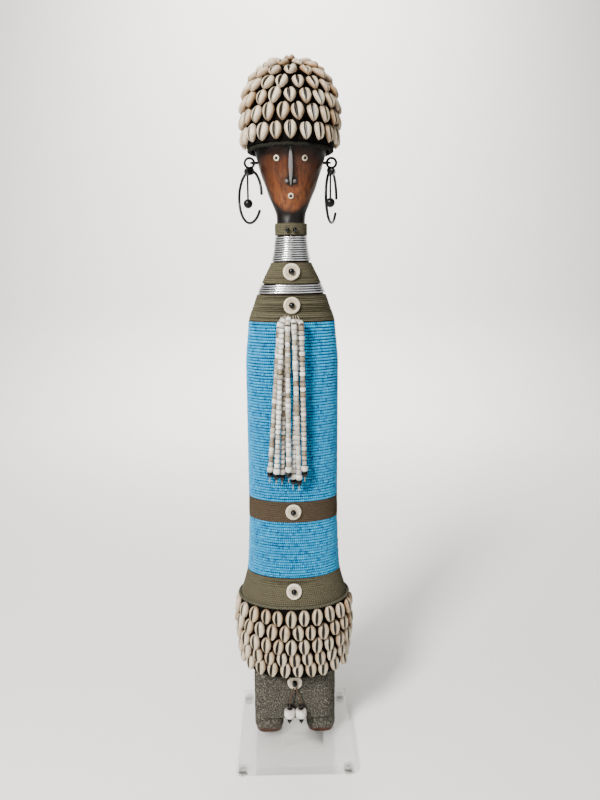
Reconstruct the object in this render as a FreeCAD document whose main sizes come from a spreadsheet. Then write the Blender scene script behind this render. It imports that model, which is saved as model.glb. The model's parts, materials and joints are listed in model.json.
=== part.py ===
"""Beaded fertility doll on a clear stand: a carved wooden core wrapped in seed beads, twine and
aluminium wire, with a cap and a skirt of cowrie shells, swinging earrings, a bead fringe and two
bead tassels.

Frame: millimetres, +Z up, origin on the surface the stand rests on, under the middle of the doll.
The doll faces -Y, and its right-hand side as seen from the front is +X.
"""
import FreeCAD
import Part
import math
import os

from FreeCAD import Placement, Rotation, Vector

DOC = FreeCAD.newDocument("fertility_doll")

# Every size that can be set by itself: alias, millimetres or degrees, meaning.
SIZES = [
    # clear stand
    ("plate_width", 127.0, "side of the clear plate, left to right"),
    ("plate_depth", 127.0, "side of the clear plate, front to back"),
    ("plate_thickness", 9.5, "thickness of the clear plate"),
    ("plate_corner", 1.5, "radius on the plate's upright edges"),
    ("bumper_diameter", 10.0, "clear bumper under each corner"),
    ("bumper_height", 3.0, "height of a bumper"),
    ("bumper_margin", 1.5, "plate edge to bumper edge"),
    ("screw_shank", 4.0, "wood screw shank diameter"),
    ("screw_head", 8.0, "countersunk screw head diameter"),
    ("screw_head_height", 2.6, "height of the countersunk head"),
    ("screw_reach", 24.0, "screw length inside the foot"),
    ("screw_clearance", 0.2, "gap round the shank in the plate"),
    ("label_length", 44.0, "blank paper label, long side"),
    ("label_width", 26.0, "blank paper label, short side"),
    ("label_thickness", 0.15, "paper thickness"),
    ("label_corner", 3.0, "corner radius of the label"),
    ("label_front", 50.5, "plate's front edge to the label's middle"),
    ("label_side", 9.0, "middle plane to the label's middle"),
    ("label_turn", 4.0, "turn of the label in plan, degrees"),
    # legs, counted from the plate upwards
    ("sole_height", 5.0, "bare wood under each leg's twine"),
    ("leg_wrap_height", 17.0, "twine on each separate leg"),
    ("block_wrap_height", 63.0, "twine round both legs, up under the skirt"),
    ("leg_width", 33.0, "one leg, left to right, over the twine"),
    ("leg_depth", 36.0, "one leg, front to back, over the twine"),
    ("leg_gap", 26.0, "gap between the legs"),
    ("block_depth", 44.0, "joined legs, front to back, over the twine"),
    ("leg_corner", 11.0, "corner radius of one leg in plan"),
    ("block_corner", 16.0, "corner radius of the joined legs in plan"),
    ("leg_set_back", 4.0, "middle of the legs behind the doll's axis"),
    ("wrap_thickness", 2.2, "beads, twine and wire round the core"),
    # heights of the wraps above the legs' twine
    ("hem_rise", 42.0, "skirt lining, from its hem to its fullest"),
    ("hip_rise", 43.0, "skirt lining, from its fullest to the belt's rim"),
    ("belt_height", 30.0, "flared twine belt"),
    ("lower_bead_height", 62.0, "lower field of blue beads"),
    ("waist_height", 22.0, "twine band at the waist"),
    ("upper_bead_height", 147.0, "upper field of blue beads, straight part"),
    ("breast_height", 38.0, "upper field of blue beads, tapering part"),
    ("shoulder_height", 26.0, "twine over the shoulders"),
    ("lower_ring_height", 11.0, "lower coil of wire"),
    ("chest_height", 20.0, "twine between the two coils of wire"),
    ("throat_rise", 10.0, "upper coil of wire, its flaring foot"),
    ("nape_rise", 16.0, "upper coil of wire, its straighter part"),
    ("collar_height", 11.0, "twine at the throat"),
    ("bare_neck_height", 9.0, "bare wood of the neck"),
    ("face_height", 60.0, "chin to the cap's rim"),
    ("skull_height", 66.0, "cap's rim to the crown of the wood"),
    # widths, left to right, and depths, front to back, over the wraps
    ("hem_side_room", 6.0, "hem beyond the joined legs, each side"),
    ("hem_front_room", 11.0, "hem beyond the joined legs, front and back, legs centred"),
    ("hem_width", "=2 * leg_width + leg_gap + 2 * hem_side_room", "skirt lining at its hem"),
    ("hem_depth", "=block_depth + 2 * hem_front_room", "skirt lining at its hem"),
    ("hip_width", 117.0, "skirt lining at its fullest"),
    ("hip_depth", 76.0, "skirt lining at its fullest"),
    ("rim_width", 117.0, "flared belt at its rim"),
    ("rim_depth", 77.0, "flared belt at its rim"),
    ("thigh_width", 101.0, "body at the top of the belt"),
    ("thigh_depth", 61.0, "body at the top of the belt"),
    ("waist_width", 95.0, "body at the waist"),
    ("waist_depth", 53.0, "body at the waist"),
    ("breast_width", 95.0, "body where it starts to taper"),
    ("breast_depth", 53.0, "body where it starts to taper"),
    ("shoulder_width", 88.0, "body at the foot of the shoulder twine"),
    ("shoulder_depth", 51.0, "body at the foot of the shoulder twine"),
    ("slope_width", 70.0, "body at the foot of the lower wire coil"),
    ("slope_depth", 44.0, "body at the foot of the lower wire coil"),
    ("chest_width", 60.0, "body at the top of the lower wire coil"),
    ("chest_depth", 40.0, "body at the top of the lower wire coil"),
    ("throat_width", 40.5, "body at the foot of the upper wire coil"),
    ("throat_depth", 34.0, "body at the foot of the upper wire coil"),
    ("nape_width", 35.8, "body within the upper wire coil"),
    ("nape_depth", 32.0, "body within the upper wire coil"),
    ("neck_width", 32.0, "neck at the top of the upper wire coil"),
    ("neck_depth", 31.0, "neck at the top of the upper wire coil"),
    ("bare_neck_width", 27.0, "bare wood of the neck"),
    ("jaw_width", 45.0, "face a third of its height above the chin"),
    ("cheek_width", 59.0, "face two thirds of its height above the chin"),
    ("brow_width", 70.0, "face at the cap's rim"),
    ("face_flatness", 0.9, "depth of the head over its width"),
    ("skull_width", 68.0, "head inside the cap"),
    ("nose_width", 3.4, "flat front of the carved nose ridge"),
    ("nose_length", 32.0, "carved nose ridge, top to bottom"),
    ("nose_rise", 5.0, "height of the nose over the face at its foot"),
    ("nostril_diameter", 5.0, "carved wing of the nose"),
    ("nose_drop", 3.0, "cap's rim to the top of the nose ridge"),
    # wire coils
    ("wire_diameter", 2.1, "aluminium wire"),
    ("wire_play", 0.12, "gap between a wound cord or wire and what it lies on"),
    # cap and shells
    ("cap_width", 83.0, "cap lining at its rim"),
    ("cap_overhang", 6.0, "cap lining above the top of the wood"),
    ("cap_rim_cord", 4.0, "braided cord round the cap's rim"),
    ("belt_rim_cord", 3.0, "cord round the belt's rim"),
    ("cap_shell_length", 16.5, "cowrie on the cap"),
    ("cap_shell_width", 11.5, "cowrie on the cap"),
    ("cap_shell_pitch", 11.0, "spacing of the cowries round the cap"),
    ("skirt_shell_length", 18.0, "cowrie on the skirt"),
    ("skirt_shell_width", 13.2, "cowrie on the skirt"),
    ("skirt_shell_pitch", 13.7, "spacing of the cowries round the skirt"),
    ("cap_shell_tuck", 2.5, "how far inside the lining the cap's spacing is counted"),
    ("top_shell_rise", 4.0, "crown of the cap to the back of its single top cowrie"),
    ("cap_row_pitch", 14.5, "spacing of the cap's rows, along its slope"),
    ("cap_shell_lift", 14.0, "tilt of a cap cowrie's lower end, degrees"),
    ("skirt_row_pitch", 18.7, "spacing of the skirt's rows, downwards"),
    ("skirt_shell_lift", 8.0, "tilt of a skirt cowrie's lower end, degrees"),
    ("shell_thickness", 6.0, "cowrie, back to lips"),
    ("slit_width", 1.4, "opening between a cowrie's lips"),
    # discs and face
    ("disc_diameter", 16.5, "bone disc"),
    ("disc_thickness", 2.2, "bone disc"),
    ("disc_hole", 4.4, "hole in a bone disc"),
    ("disc_bead", 6.0, "black bead on a disc"),
    ("eye_diameter", 5.6, "white ring of an eye and of the mouth"),
    ("eye_thickness", 1.4, "white ring of an eye and of the mouth"),
    ("pin_diameter", 2.2, "black pin in each ring"),
    ("eye_spacing", 25.7, "between the middles of the eyes"),
    ("eye_drop", 12.0, "cap's rim to the middle of the eyes"),
    ("mouth_drop", 44.5, "cap's rim to the middle of the mouth"),
    ("throat_bead", 4.4, "glass bead on the throat"),
    ("upper_disc_drop", 9.0, "top of the chest twine to the middle of its disc"),
    ("lower_disc_drop", 10.0, "top of the shoulder twine to the middle of its disc"),
    ("waist_disc_drop", 10.0, "top of the waist band to the middle of its disc"),
    ("belt_disc_drop", 12.0, "top of the belt to the middle of its disc"),
    ("apron_disc_drop", 16.0, "top of the legs' twine to the middle of its disc"),
    # earrings
    ("ear_wire", 2.4, "black wire of the ear ring"),
    ("ear_ring_radius", 4.5, "ear ring, to the middle of its wire"),
    ("ear_out", 3.4, "head's side to the middle of the staple's eye"),
    ("ear_drop", 12.5, "cap's rim to the staple"),
    ("staple_wire", 1.6, "wire of the staple in the head"),
    ("staple_gap", 2.6, "middle of the staple's eye to its wire's inside"),
    ("hoop_wire", 2.7, "black wire of the hoop"),
    ("hoop_radius", 24.0, "hoop, to the middle of its wire"),
    ("hoop_gap", 34.0, "open part of the hoop, degrees"),
    ("hoop_gap_drop", 48.0, "hoop's inner side down to the middle of its gap, degrees"),
    ("knot_length", 6.0, "knot that the hoop runs through"),
    ("knot_diameter", 7.4, "knot that the hoop runs through"),
    ("hoop_clearance", 0.4, "gap round the hoop's wire in the knot"),
    ("pendant_drop", 29.5, "knot to the middle of the pendant ball"),
    ("pendant_ball", 9.0, "black ball of the pendant"),
    ("stem_wire", 2.0, "straight stem of the pendant"),
    ("pendant_side", 4.5, "knot's middle to the pendant's eye, along the hoop"),
    ("eye_wire", 1.6, "wire of the pendant's eye"),
    ("eye_clearance", 0.75, "gap between the eye and the hoop's wire"),
    ("left_hoop_turn", 60.0, "turn of the left hoop from facing front, degrees"),
    ("right_hoop_turn", 74.0, "turn of the right hoop from facing front, degrees"),
    # fringe and tassels
    ("thread_diameter", 1.0, "thread of a fringe strand"),
    ("fringe_end_bead", 6.8, "round bead at a strand's end"),
    ("fringe_stop_bead", 4.4, "black bead under a strand's last bead"),
    ("fringe_bead", 5.2, "tubular bead of the fringe"),
    ("fringe_bead_length", 4.9, "tubular bead of the fringe"),
    ("bead_bore_clearance", 0.1, "gap round a thread in its bead"),
    ("tassel_thong", 1.8, "leather thong of a tassel"),
    ("tassel_bead", 12.0, "white round bead of a tassel"),
    ("tassel_stop_bead", 5.0, "black bead above and below the white one"),
]


def make_sheet():
    """Put every size in the spreadsheet, one row each, under its alias."""
    sheet = DOC.addObject("Spreadsheet::Sheet", "Sizes")
    for row, (alias, value, meaning) in enumerate(SIZES, start=1):
        sheet.set("A%d" % row, alias)
        sheet.set("B%d" % row, str(value))
        sheet.set("C%d" % row, meaning)
        sheet.setAlias("B%d" % row, alias)
    DOC.recompute()
    return sheet


SHEET = make_sheet()
NODES = []


def size(alias):
    """The value of one named size."""
    return float(SHEET.get(alias))


def total(*aliases):
    """The sum of named sizes, as an expression."""
    return " + ".join("Sizes." + alias for alias in aliases)


def bind(thing, **rules):
    """Bind properties of an object to expressions on the sheet."""
    for name, rule in rules.items():
        thing.setExpression(name, rule)
    return thing


def lift(thing, rule, axis="z"):
    """Bind one coordinate of an object's place."""
    thing.setExpression("Placement.Base." + axis, rule)
    return thing


def node(thing, label):
    """Name a finished sub-part; the label is its file's name."""
    thing.Label = label
    NODES.append(thing)
    return thing


def feature(label, shape, place=None):
    """A finished sub-part whose shape is worked out from the sheet by this script."""
    thing = DOC.addObject("Part::Feature", label)
    thing.Shape = shape
    if place is not None:
        thing.Placement = place
    return node(thing, label)


# Levels of the figure from the plate up: the name of each level and the height added below it.
STACK = [
    ("sole", "sole_height"),
    ("arch", "leg_wrap_height"),
    ("hem", "block_wrap_height"),
    ("hip", "hem_rise"),
    ("rim", "hip_rise"),
    ("thigh", "belt_height"),
    ("waist_low", "lower_bead_height"),
    ("waist", "waist_height"),
    ("breast", "upper_bead_height"),
    ("shoulder", "breast_height"),
    ("slope", "shoulder_height"),
    ("chest", "lower_ring_height"),
    ("throat", "chest_height"),
    ("nape", "throat_rise"),
    ("neck", "nape_rise"),
    ("collar", "collar_height"),
    ("chin", "bare_neck_height"),
    ("brow", "face_height"),
    ("crown", "skull_height"),
]


def level(name):
    """The expression for the height of one level above the ground."""
    names = [entry[0] for entry in STACK]
    below = [entry[1] for entry in STACK[:names.index(name) + 1]]
    return total("bumper_height", "plate_thickness", *below)


def height(name):
    """The height of one level above the ground, in millimetres."""
    return sum(size(term.replace("Sizes.", "")) for term in level(name).split(" + "))


# Oval sections of the wrapped body: level, width and depth over the wraps.
TRUNK = [
    ("hem", "hem"),
    ("hip", "hip"),
    ("rim", "rim"),
    ("thigh", "thigh"),
    ("waist_low", "waist"),
    ("waist", "waist"),
    ("breast", "breast"),
    ("shoulder", "shoulder"),
    ("slope", "slope"),
    ("chest", "chest"),
    ("throat", "throat"),
    ("nape", "nape"),
    ("neck", "neck"),
    ("collar", "neck"),
]
TRUNK_LEVELS = [entry[0] for entry in TRUNK]


def oval(name, width_rule, depth_rule, height_rule):
    """A level ellipse; its long axis lies along X."""
    ring = DOC.addObject("Part::Ellipse", name)
    bind(ring, MajorRadius="(%s) / 2" % width_rule, MinorRadius="(%s) / 2" % depth_rule)
    return lift(ring, height_rule)


def make_trunk_ovals(prefix, inset_rule):
    """One ellipse at each level of the trunk, drawn in from the outside by an inset."""
    rings = {}
    for name, section in TRUNK:
        width_rule = "Sizes.%s_width - 2 * (%s)" % (section, inset_rule)
        depth_rule = "Sizes.%s_depth - 2 * (%s)" % (section, inset_rule)
        rings[name] = oval(prefix + name, width_rule, depth_rule, level(name))
    return rings


def loft(name, sections, ruled=True):
    """A solid through a list of sections."""
    body = DOC.addObject("Part::Loft", name)
    body.Sections = sections
    body.Solid = True
    body.Ruled = ruled
    return body


def cut(name, base, tool):
    """One solid less another."""
    result = DOC.addObject("Part::Cut", name)
    result.Base = base
    result.Tool = tool
    return result


def fuse(name, shapes):
    """Several solids joined into one."""
    result = DOC.addObject("Part::MultiFuse", name)
    result.Shapes = shapes
    return result


OUTER = make_trunk_ovals("outer_", "0")
INNER = make_trunk_ovals("inner_", "Sizes.wrap_thickness")


def make_band(label, lowest, highest):
    """A wrap round the trunk between two levels, as thick as the wraps are."""
    first, last = TRUNK_LEVELS.index(lowest), TRUNK_LEVELS.index(highest)
    names = TRUNK_LEVELS[first:last + 1]
    outside = loft(label + "_outside", [OUTER[name] for name in names])
    inside = loft(label + "_inside", [INNER[name] for name in names])
    return node(cut(label, outside, inside), label)


BANDS = [
    ("skirt_lining", "hem", "rim"),
    ("flared_belt", "rim", "thigh"),
    ("lower_bead_wrap", "thigh", "waist_low"),
    ("waist_band", "waist_low", "waist"),
    ("upper_bead_wrap", "waist", "shoulder"),
    ("shoulder_twine", "shoulder", "slope"),
    ("chest_twine", "chest", "throat"),
    ("collar_twine", "neck", "collar"),
]


def make_bands():
    """Every lining, twine and bead wrap of the trunk."""
    for label, lowest, highest in BANDS:
        make_band(label, lowest, highest)


def section_at(z):
    """Half width, half depth and forward lean of the wrapped trunk at a height.

    The lean is the angle between the front line and the vertical, positive where the front faces
    upwards.
    """
    heights = [height(name) for name in TRUNK_LEVELS]
    place = max(i for i in range(len(heights) - 1) if heights[i] <= z or i == 0)
    low, high = heights[place], heights[place + 1]
    share = (z - low) / (high - low)
    lower, upper = TRUNK[place][1], TRUNK[place + 1][1]
    half = []
    for side in ("_width", "_depth"):
        start, end = size(lower + side) / 2, size(upper + side) / 2
        half.append(start + share * (end - start))
    change = (size(upper + "_depth") - size(lower + "_depth")) / 2
    return half[0], half[1], math.degrees(math.atan2(-change, high - low))


def make_wire_coil(label, lowest, highest):
    """The turns of aluminium wire between two levels, lying on the core, one ring a turn."""
    low, high = height(lowest), height(highest)
    wire = size("wire_diameter")
    turns = int((high - low) / (wire * 1.02))
    rings = []
    for turn in range(turns):
        z = low + (turn + 0.5) * (high - low) / turns
        half_width, half_depth, _ = section_at(z)
        above, below = section_at(z + wire / 4), section_at(z - wire / 4)
        offset = size("wire_play") - size("wrap_thickness")
        half_width += offset + wire / 2 * math.hypot(1, (below[0] - above[0]) / (wire / 2))
        half_depth += offset + wire / 2 * math.hypot(1, (below[1] - above[1]) / (wire / 2))
        path = Part.Ellipse(Vector(0, 0, z), half_width, half_depth)
        start = Vector(half_width, 0, z)
        round_section = Part.Wire([Part.makeCircle(wire / 2, start, Vector(0, 1, 0))])
        ring = Part.Wire([path.toShape()]).makePipeShell([round_section], True, False)
        rings.append(ring)
    return feature(label, Part.makeCompound(rings))


def upright_block(name, width_rule, depth_rule, corner_rule, low_rule, rise_rule, x_rule="0"):
    """A block with rounded upright edges, centred on the legs, made as a padded sketch."""
    body = DOC.addObject("PartDesign::Body", name)
    plane = [item for item in body.Origin.OriginFeatures if item.Role == "XY_Plane"][0]
    sketch = body.newObject("Sketcher::SketchObject", name + "_sketch")
    sketch.AttachmentSupport = [(plane, "")]
    sketch.MapMode = "FlatFace"
    draw_rectangle(sketch, width_rule, depth_rule)
    pad = body.newObject("PartDesign::Pad", name + "_pad")
    pad.Profile = sketch
    bind(pad, Length=rise_rule)
    DOC.recompute()
    edges = ["Edge%d" % (i + 1) for i, edge in enumerate(pad.Shape.Edges) if is_upright(edge)]
    rounding = body.newObject("PartDesign::Fillet", name + "_rounding")
    rounding.Base = (pad, edges)
    bind(rounding, Radius=corner_rule)
    body.Tip = rounding
    lift(body, low_rule)
    lift(body, x_rule, "x")
    return body


def draw_rectangle(sketch, width_rule, depth_rule):
    """A rectangle centred on the sketch's origin."""
    corners = [Vector(-1, -1, 0), Vector(1, -1, 0), Vector(1, 1, 0), Vector(-1, 1, 0)]
    for start, end in zip(corners, corners[1:] + corners[:1]):
        sketch.addGeometry(Part.LineSegment(start, end), False)
    from Sketcher import Constraint
    for side in range(4):
        sketch.addConstraint(Constraint("Coincident", side, 2, (side + 1) % 4, 1))
    for side, kind in enumerate(["Horizontal", "Vertical", "Horizontal", "Vertical"]):
        sketch.addConstraint(Constraint(kind, side))
    sketch.addConstraint(Constraint("Symmetric", 0, 1, 1, 2, -1, 1))
    width = sketch.addConstraint(Constraint("DistanceX", 0, 1, 0, 2, 2.0))
    depth = sketch.addConstraint(Constraint("DistanceY", 1, 1, 1, 2, 2.0))
    sketch.setExpression("Constraints[%d]" % width, width_rule)
    sketch.setExpression("Constraints[%d]" % depth, depth_rule)


def is_upright(edge):
    """Whether an edge of a block stands along Z."""
    ends = edge.Vertexes
    return len(ends) == 2 and abs(ends[0].Z - ends[1].Z) > 0.9 * edge.Length


def cylinder(name, diameter_rule, rise_rule, low_rule, x_rule="0", y_rule="0"):
    """An upright round bar."""
    bar = DOC.addObject("Part::Cylinder", name)
    bind(bar, Radius="(%s) / 2" % diameter_rule, Height=rise_rule)
    for axis, rule in (("x", x_rule), ("y", y_rule), ("z", low_rule)):
        lift(bar, rule, axis)
    return bar


def group(name, parts):
    """Identical pieces that stay separate solids and share one sub-part."""
    result = DOC.addObject("Part::Compound", name)
    result.Links = parts
    return result


SIDES = {"left": -1, "right": 1}
LEG_MIDDLE = "(Sizes.leg_width + Sizes.leg_gap) / 2"
PLATE_TOP = total("bumper_height", "plate_thickness")


def screw_pieces(side, name, gap_rule):
    """Head and shank of the screw under one leg, or with a gap the hole that it passes."""
    x_rule = "%d * %s" % (SIDES[side], LEG_MIDDLE)
    head = DOC.addObject("Part::Cone", name + "_head_" + side)
    bind(head, Radius1="Sizes.screw_head / 2", Radius2="Sizes.screw_shank / 2", Height="Sizes.screw_head_height")
    for axis, rule in (("x", x_rule), ("y", "Sizes.leg_set_back"), ("z", "Sizes.bumper_height")):
        lift(head, rule, axis)
    reach = total("plate_thickness", "screw_reach") if gap_rule == "0" else "Sizes.plate_thickness"
    shank = cylinder(name + "_shank_" + side, "Sizes.screw_shank + 2 * (%s)" % gap_rule, reach,
                     "Sizes.bumper_height", x_rule, "Sizes.leg_set_back")
    return fuse(name + "_" + side, [head, shank])


def make_stand():
    """Clear plate, its four bumpers, the two screws into the feet and the blank label."""
    plate = upright_block("plate_blank", "Sizes.plate_width", "Sizes.plate_depth", "Sizes.plate_corner",
                          "Sizes.bumper_height", "Sizes.plate_thickness")
    holes = fuse("plate_holes", [screw_pieces(side, "hole", "Sizes.screw_clearance") for side in SIDES])
    node(cut("base_plate", plate, holes), "base_plate")
    feet = []
    for x_sign in (-1, 1):
        for y_sign in (-1, 1):
            inset = "(Sizes.bumper_diameter / 2 + Sizes.bumper_margin)"
            x_rule = "%d * (Sizes.plate_width / 2 - %s)" % (x_sign, inset)
            y_rule = "%d * (Sizes.plate_depth / 2 - %s)" % (y_sign, inset)
            feet.append(cylinder("bumper", "Sizes.bumper_diameter", "Sizes.bumper_height", "0", x_rule, y_rule))
    node(group("base_bumpers", feet), "base_bumpers")
    screws = [screw_pieces(side, "screw", "0") for side in SIDES]
    node(group("base_screws", screws), "base_screws")
    label = upright_block("base_label", "Sizes.label_length", "Sizes.label_width", "Sizes.label_corner",
                          "Sizes.bumper_height - Sizes.label_thickness", "Sizes.label_thickness", "Sizes.label_side")
    lift(label, "Sizes.label_front - Sizes.plate_depth / 2", "y")
    label.setExpression("Placement.Rotation.Angle", "Sizes.label_turn")
    node(label, "base_label")
    return screws


def make_legs():
    """Twine on each leg and round both legs, and the wood inside them."""
    wrap = "2 * Sizes.wrap_thickness"
    inner_corner = "Sizes.leg_corner - Sizes.wrap_thickness"
    wood = []
    for side, sign in SIDES.items():
        x_rule = "%d * %s" % (sign, LEG_MIDDLE)
        outside = upright_block(side + "_leg_outside", "Sizes.leg_width", "Sizes.leg_depth", "Sizes.leg_corner",
                                level("sole"), "Sizes.leg_wrap_height", x_rule)
        core = upright_block(side + "_leg_wood", "Sizes.leg_width - " + wrap, "Sizes.leg_depth - " + wrap,
                             inner_corner, PLATE_TOP, total("sole_height", "leg_wrap_height"), x_rule)
        for block in (outside, core):
            lift(block, "Sizes.leg_set_back", "y")
        node(cut(side + "_leg_twine", outside, core), side + "_leg_twine")
        wood.append(core)
    width = "2 * Sizes.leg_width + Sizes.leg_gap"
    outside = upright_block("leg_block_outside", width, "Sizes.block_depth", "Sizes.block_corner",
                            level("arch"), "Sizes.block_wrap_height")
    core = upright_block("leg_block_wood", "%s - %s" % (width, wrap), "Sizes.block_depth - " + wrap,
                         "Sizes.block_corner - Sizes.wrap_thickness", level("arch"), "Sizes.block_wrap_height")
    for block in (outside, core):
        lift(block, "Sizes.leg_set_back", "y")
    node(cut("leg_block_twine", outside, core), "leg_block_twine")
    return wood + [core]


# Sections of the head: level it is counted from, height over that level, width.
HEAD = [
    ("collar", "0", "Sizes.bare_neck_width"),
    ("chin", "0", "Sizes.bare_neck_width + 1"),
    ("chin", "Sizes.face_height / 3", "Sizes.jaw_width"),
    ("chin", "Sizes.face_height * 2 / 3", "Sizes.cheek_width"),
    ("brow", "0", "Sizes.brow_width"),
    ("brow", "Sizes.skull_height / 3", "Sizes.skull_width"),
    ("brow", "Sizes.skull_height * 2 / 3", "Sizes.skull_width * 0.8"),
    ("brow", "Sizes.skull_height", "Sizes.skull_width * 0.3"),
]


def make_head():
    """The carved head and bare neck, without the nose."""
    rings = []
    for place, (name, rise_rule, width_rule) in enumerate(HEAD):
        depth_rule = "(%s) * Sizes.face_flatness" % width_rule
        rings.append(oval("head_%d" % place, width_rule, depth_rule, "%s + %s" % (level(name), rise_rule)))
    return loft("head", rings)


def head_at(z):
    """Half width and half depth of the head at a height on the face."""
    heights = [height("collar"), height("chin")]
    heights += [height("chin") + size("face_height") * share / 3 for share in (1, 2, 3)]
    widths = [size("bare_neck_width"), size("bare_neck_width") + 1]
    widths += [size("jaw_width"), size("cheek_width"), size("brow_width")]
    place = max(i for i in range(len(heights) - 1) if heights[i] <= z or i == 0)
    share = (z - heights[place]) / (heights[place + 1] - heights[place])
    width = widths[place] + share * (widths[place + 1] - widths[place])
    return width / 2, width / 2 * size("face_flatness")


def make_nose():
    """The long narrow ridge of the nose and its two wings, standing on the face."""
    top = height("brow") - size("nose_drop")
    foot = top - size("nose_length")
    half = size("nose_width") / 2
    top_y = -head_at(top)[1]
    foot_y = -head_at(foot)[1]
    side = [Vector(-half, top_y + half, top), Vector(-half, top_y - 0.8, top - half),
            Vector(-half, foot_y - size("nose_rise"), foot), Vector(-half, foot_y + half, foot - half)]
    outline = Part.makePolygon(side + side[:1])
    ridge = Part.Face(outline).extrude(Vector(2 * half, 0, 0))
    wings = []
    for sign in SIDES.values():
        middle = Vector(sign * size("nostril_diameter") / 2, foot_y - 0.6, foot + 1.6)
        wings.append(Part.makeSphere(size("nostril_diameter") / 2, middle))
    nose = DOC.addObject("Part::Feature", "nose")
    nose.Shape = ridge.fuse(wings)
    return nose


def make_core(screws, staples, leg_wood):
    """The one carved piece of wood: legs, trunk, neck, head and nose, holed by its fasteners."""
    trunk = loft("trunk_wood", [INNER[name] for name in TRUNK_LEVELS])
    solid = fuse("carved_solid", leg_wood + [trunk, make_head(), make_nose()])
    holes = fuse("fastener_holes", screws + [staples])
    return node(cut("carved_core", solid, holes), "carved_core")


def frame_place(origin, across, upwards, outwards):
    """The placement that turns local X, Y and Z to three square directions at a point."""
    turn = Rotation(across, upwards, outwards, "ZXY")
    return Placement(origin, turn)


def surface_frame(point_of, around, z):
    """Point, direction across, direction upwards and outward normal on a round surface.

    point_of(angle, z) gives the surface; the two directions come from small steps on it.
    """
    here = point_of(around, z)
    across = (point_of(around + 0.002, z) - here).normalize()
    upwards = (point_of(around, z + 0.02) - here).normalize()
    outwards = across.cross(upwards).normalize()
    return here, across, outwards.cross(across), outwards


def trunk_point(around, z):
    """A point on the wrapped trunk; the angle is 0 at the front and grows towards +X."""
    half_width, half_depth, _ = section_at(z)
    return Vector(half_width * math.sin(around), -half_depth * math.cos(around), z)


def head_point(around, z):
    """A point on the bare head; the angle is 0 at the front and grows towards +X."""
    half_width, half_depth = head_at(z)
    return Vector(half_width * math.sin(around), -half_depth * math.cos(around), z)


CAP_FULLNESS = 3.4


def cap_radius(share):
    """Radius of the cap's dome at a share of its height: straight sides and a rounded crown."""
    return size("cap_width") / 2 * math.sqrt(max(0.0, 1 - share ** CAP_FULLNESS))


def cap_point(around, z):
    """A point on the cap lining; the angle is 0 at the front and grows towards +X."""
    low = height("brow")
    rise = size("skull_height") + size("cap_overhang")
    radius = cap_radius((z - low) / rise)
    return Vector(radius * math.sin(around), -radius * math.cos(around), z)


def make_cowrie(length, width):
    """One cowrie: a flat back, a domed front and the narrow opening between its lips."""
    dome = Part.makeSphere(1)
    stretch = FreeCAD.Matrix()
    stretch.scale(width / 2, length / 2, size("shell_thickness"))
    dome = dome.transformGeometry(stretch)
    keep = Part.makeBox(width, length, size("shell_thickness"), Vector(-width / 2, -length / 2, 0))
    opening = 0.62 * length
    depth = size("shell_thickness") / 2
    slit = Part.makeBox(size("slit_width"), opening, depth + 1,
                        Vector(-size("slit_width") / 2, -opening / 2, size("shell_thickness") - depth))
    return dome.common(keep).cut(slit)


def hollow_under(around, z, length, outwards):
    """How far the trunk's surface dips between a shell's two ends, 0 where it bulges."""
    here = trunk_point(around, z)
    ends = (trunk_point(around, z + length / 2) + trunk_point(around, z - length / 2)) * 0.5
    return max(0.0, (ends - here).dot(outwards))


def lay_shell(shell, point_of, around, z, lift_angle, length):
    """A copy of a shell on a surface, upper end against it and lower end lifted off it."""
    here, across, upwards, outwards = surface_frame(point_of, around, z)
    lean = math.radians(lift_angle)
    tilted_up = upwards * math.cos(lean) - outwards * math.sin(lean)
    tilted_out = outwards * math.cos(lean) + upwards * math.sin(lean)
    dip = hollow_under(around, z, length, outwards) if point_of is trunk_point else 0.0
    middle = here + outwards * (length / 2 * math.sin(lean) + 0.1 + dip)
    piece = shell.copy()
    piece.Placement = frame_place(middle, across, tilted_up, tilted_out)
    return piece


def even_angles(point_of, z, pitch, shift, tuck):
    """Angles that space pieces evenly round a closed oval, shifted by a share of the pitch.

    The pieces are counted on a line that lies a little inside the oval, by the tuck.
    """
    steps = 720
    points = [point_of(2 * math.pi * i / steps, z) for i in range(steps + 1)]
    lengths = [0.0]
    for start, end in zip(points, points[1:]):
        lengths.append(lengths[-1] + start.distanceToPoint(end))
    count = int((lengths[-1] - 2 * math.pi * tuck) / pitch)
    angles = []
    for piece in range(count):
        target = (piece + shift) * lengths[-1] / count
        step = max(i for i in range(steps) if lengths[i] <= target)
        part = (target - lengths[step]) / (lengths[step + 1] - lengths[step])
        angles.append(2 * math.pi * (step + part) / steps)
    return angles


def make_shell_row(shell, point_of, z, pitch, shift, lift_angle, length, tuck=0.0):
    """One row of cowries round an oval surface."""
    angles = even_angles(point_of, z, pitch, shift, tuck)
    return [lay_shell(shell, point_of, around, z, lift_angle, length) for around in angles]


def make_skirt_shells():
    """Rows of cowries that hang on the skirt lining, in three sub-parts."""
    length = size("skirt_shell_length")
    shell = make_cowrie(length, size("skirt_shell_width"))
    rows = int((height("rim") - height("hem")) / size("skirt_row_pitch") + 0.5)
    made = []
    for row in range(rows):
        z = height("rim") - 0.5 - length / 2 - row * size("skirt_row_pitch")
        made.append(make_shell_row(shell, trunk_point, z, size("skirt_shell_pitch"), row % 2 / 2,
                                   size("skirt_shell_lift"), length))
    feature("skirt_shells_upper", Part.makeCompound(made[0] + made[1]))
    feature("skirt_shells_middle", Part.makeCompound(sum(made[2:-1], [])))
    feature("skirt_shells_lower", Part.makeCompound(made[-1]))


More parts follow.
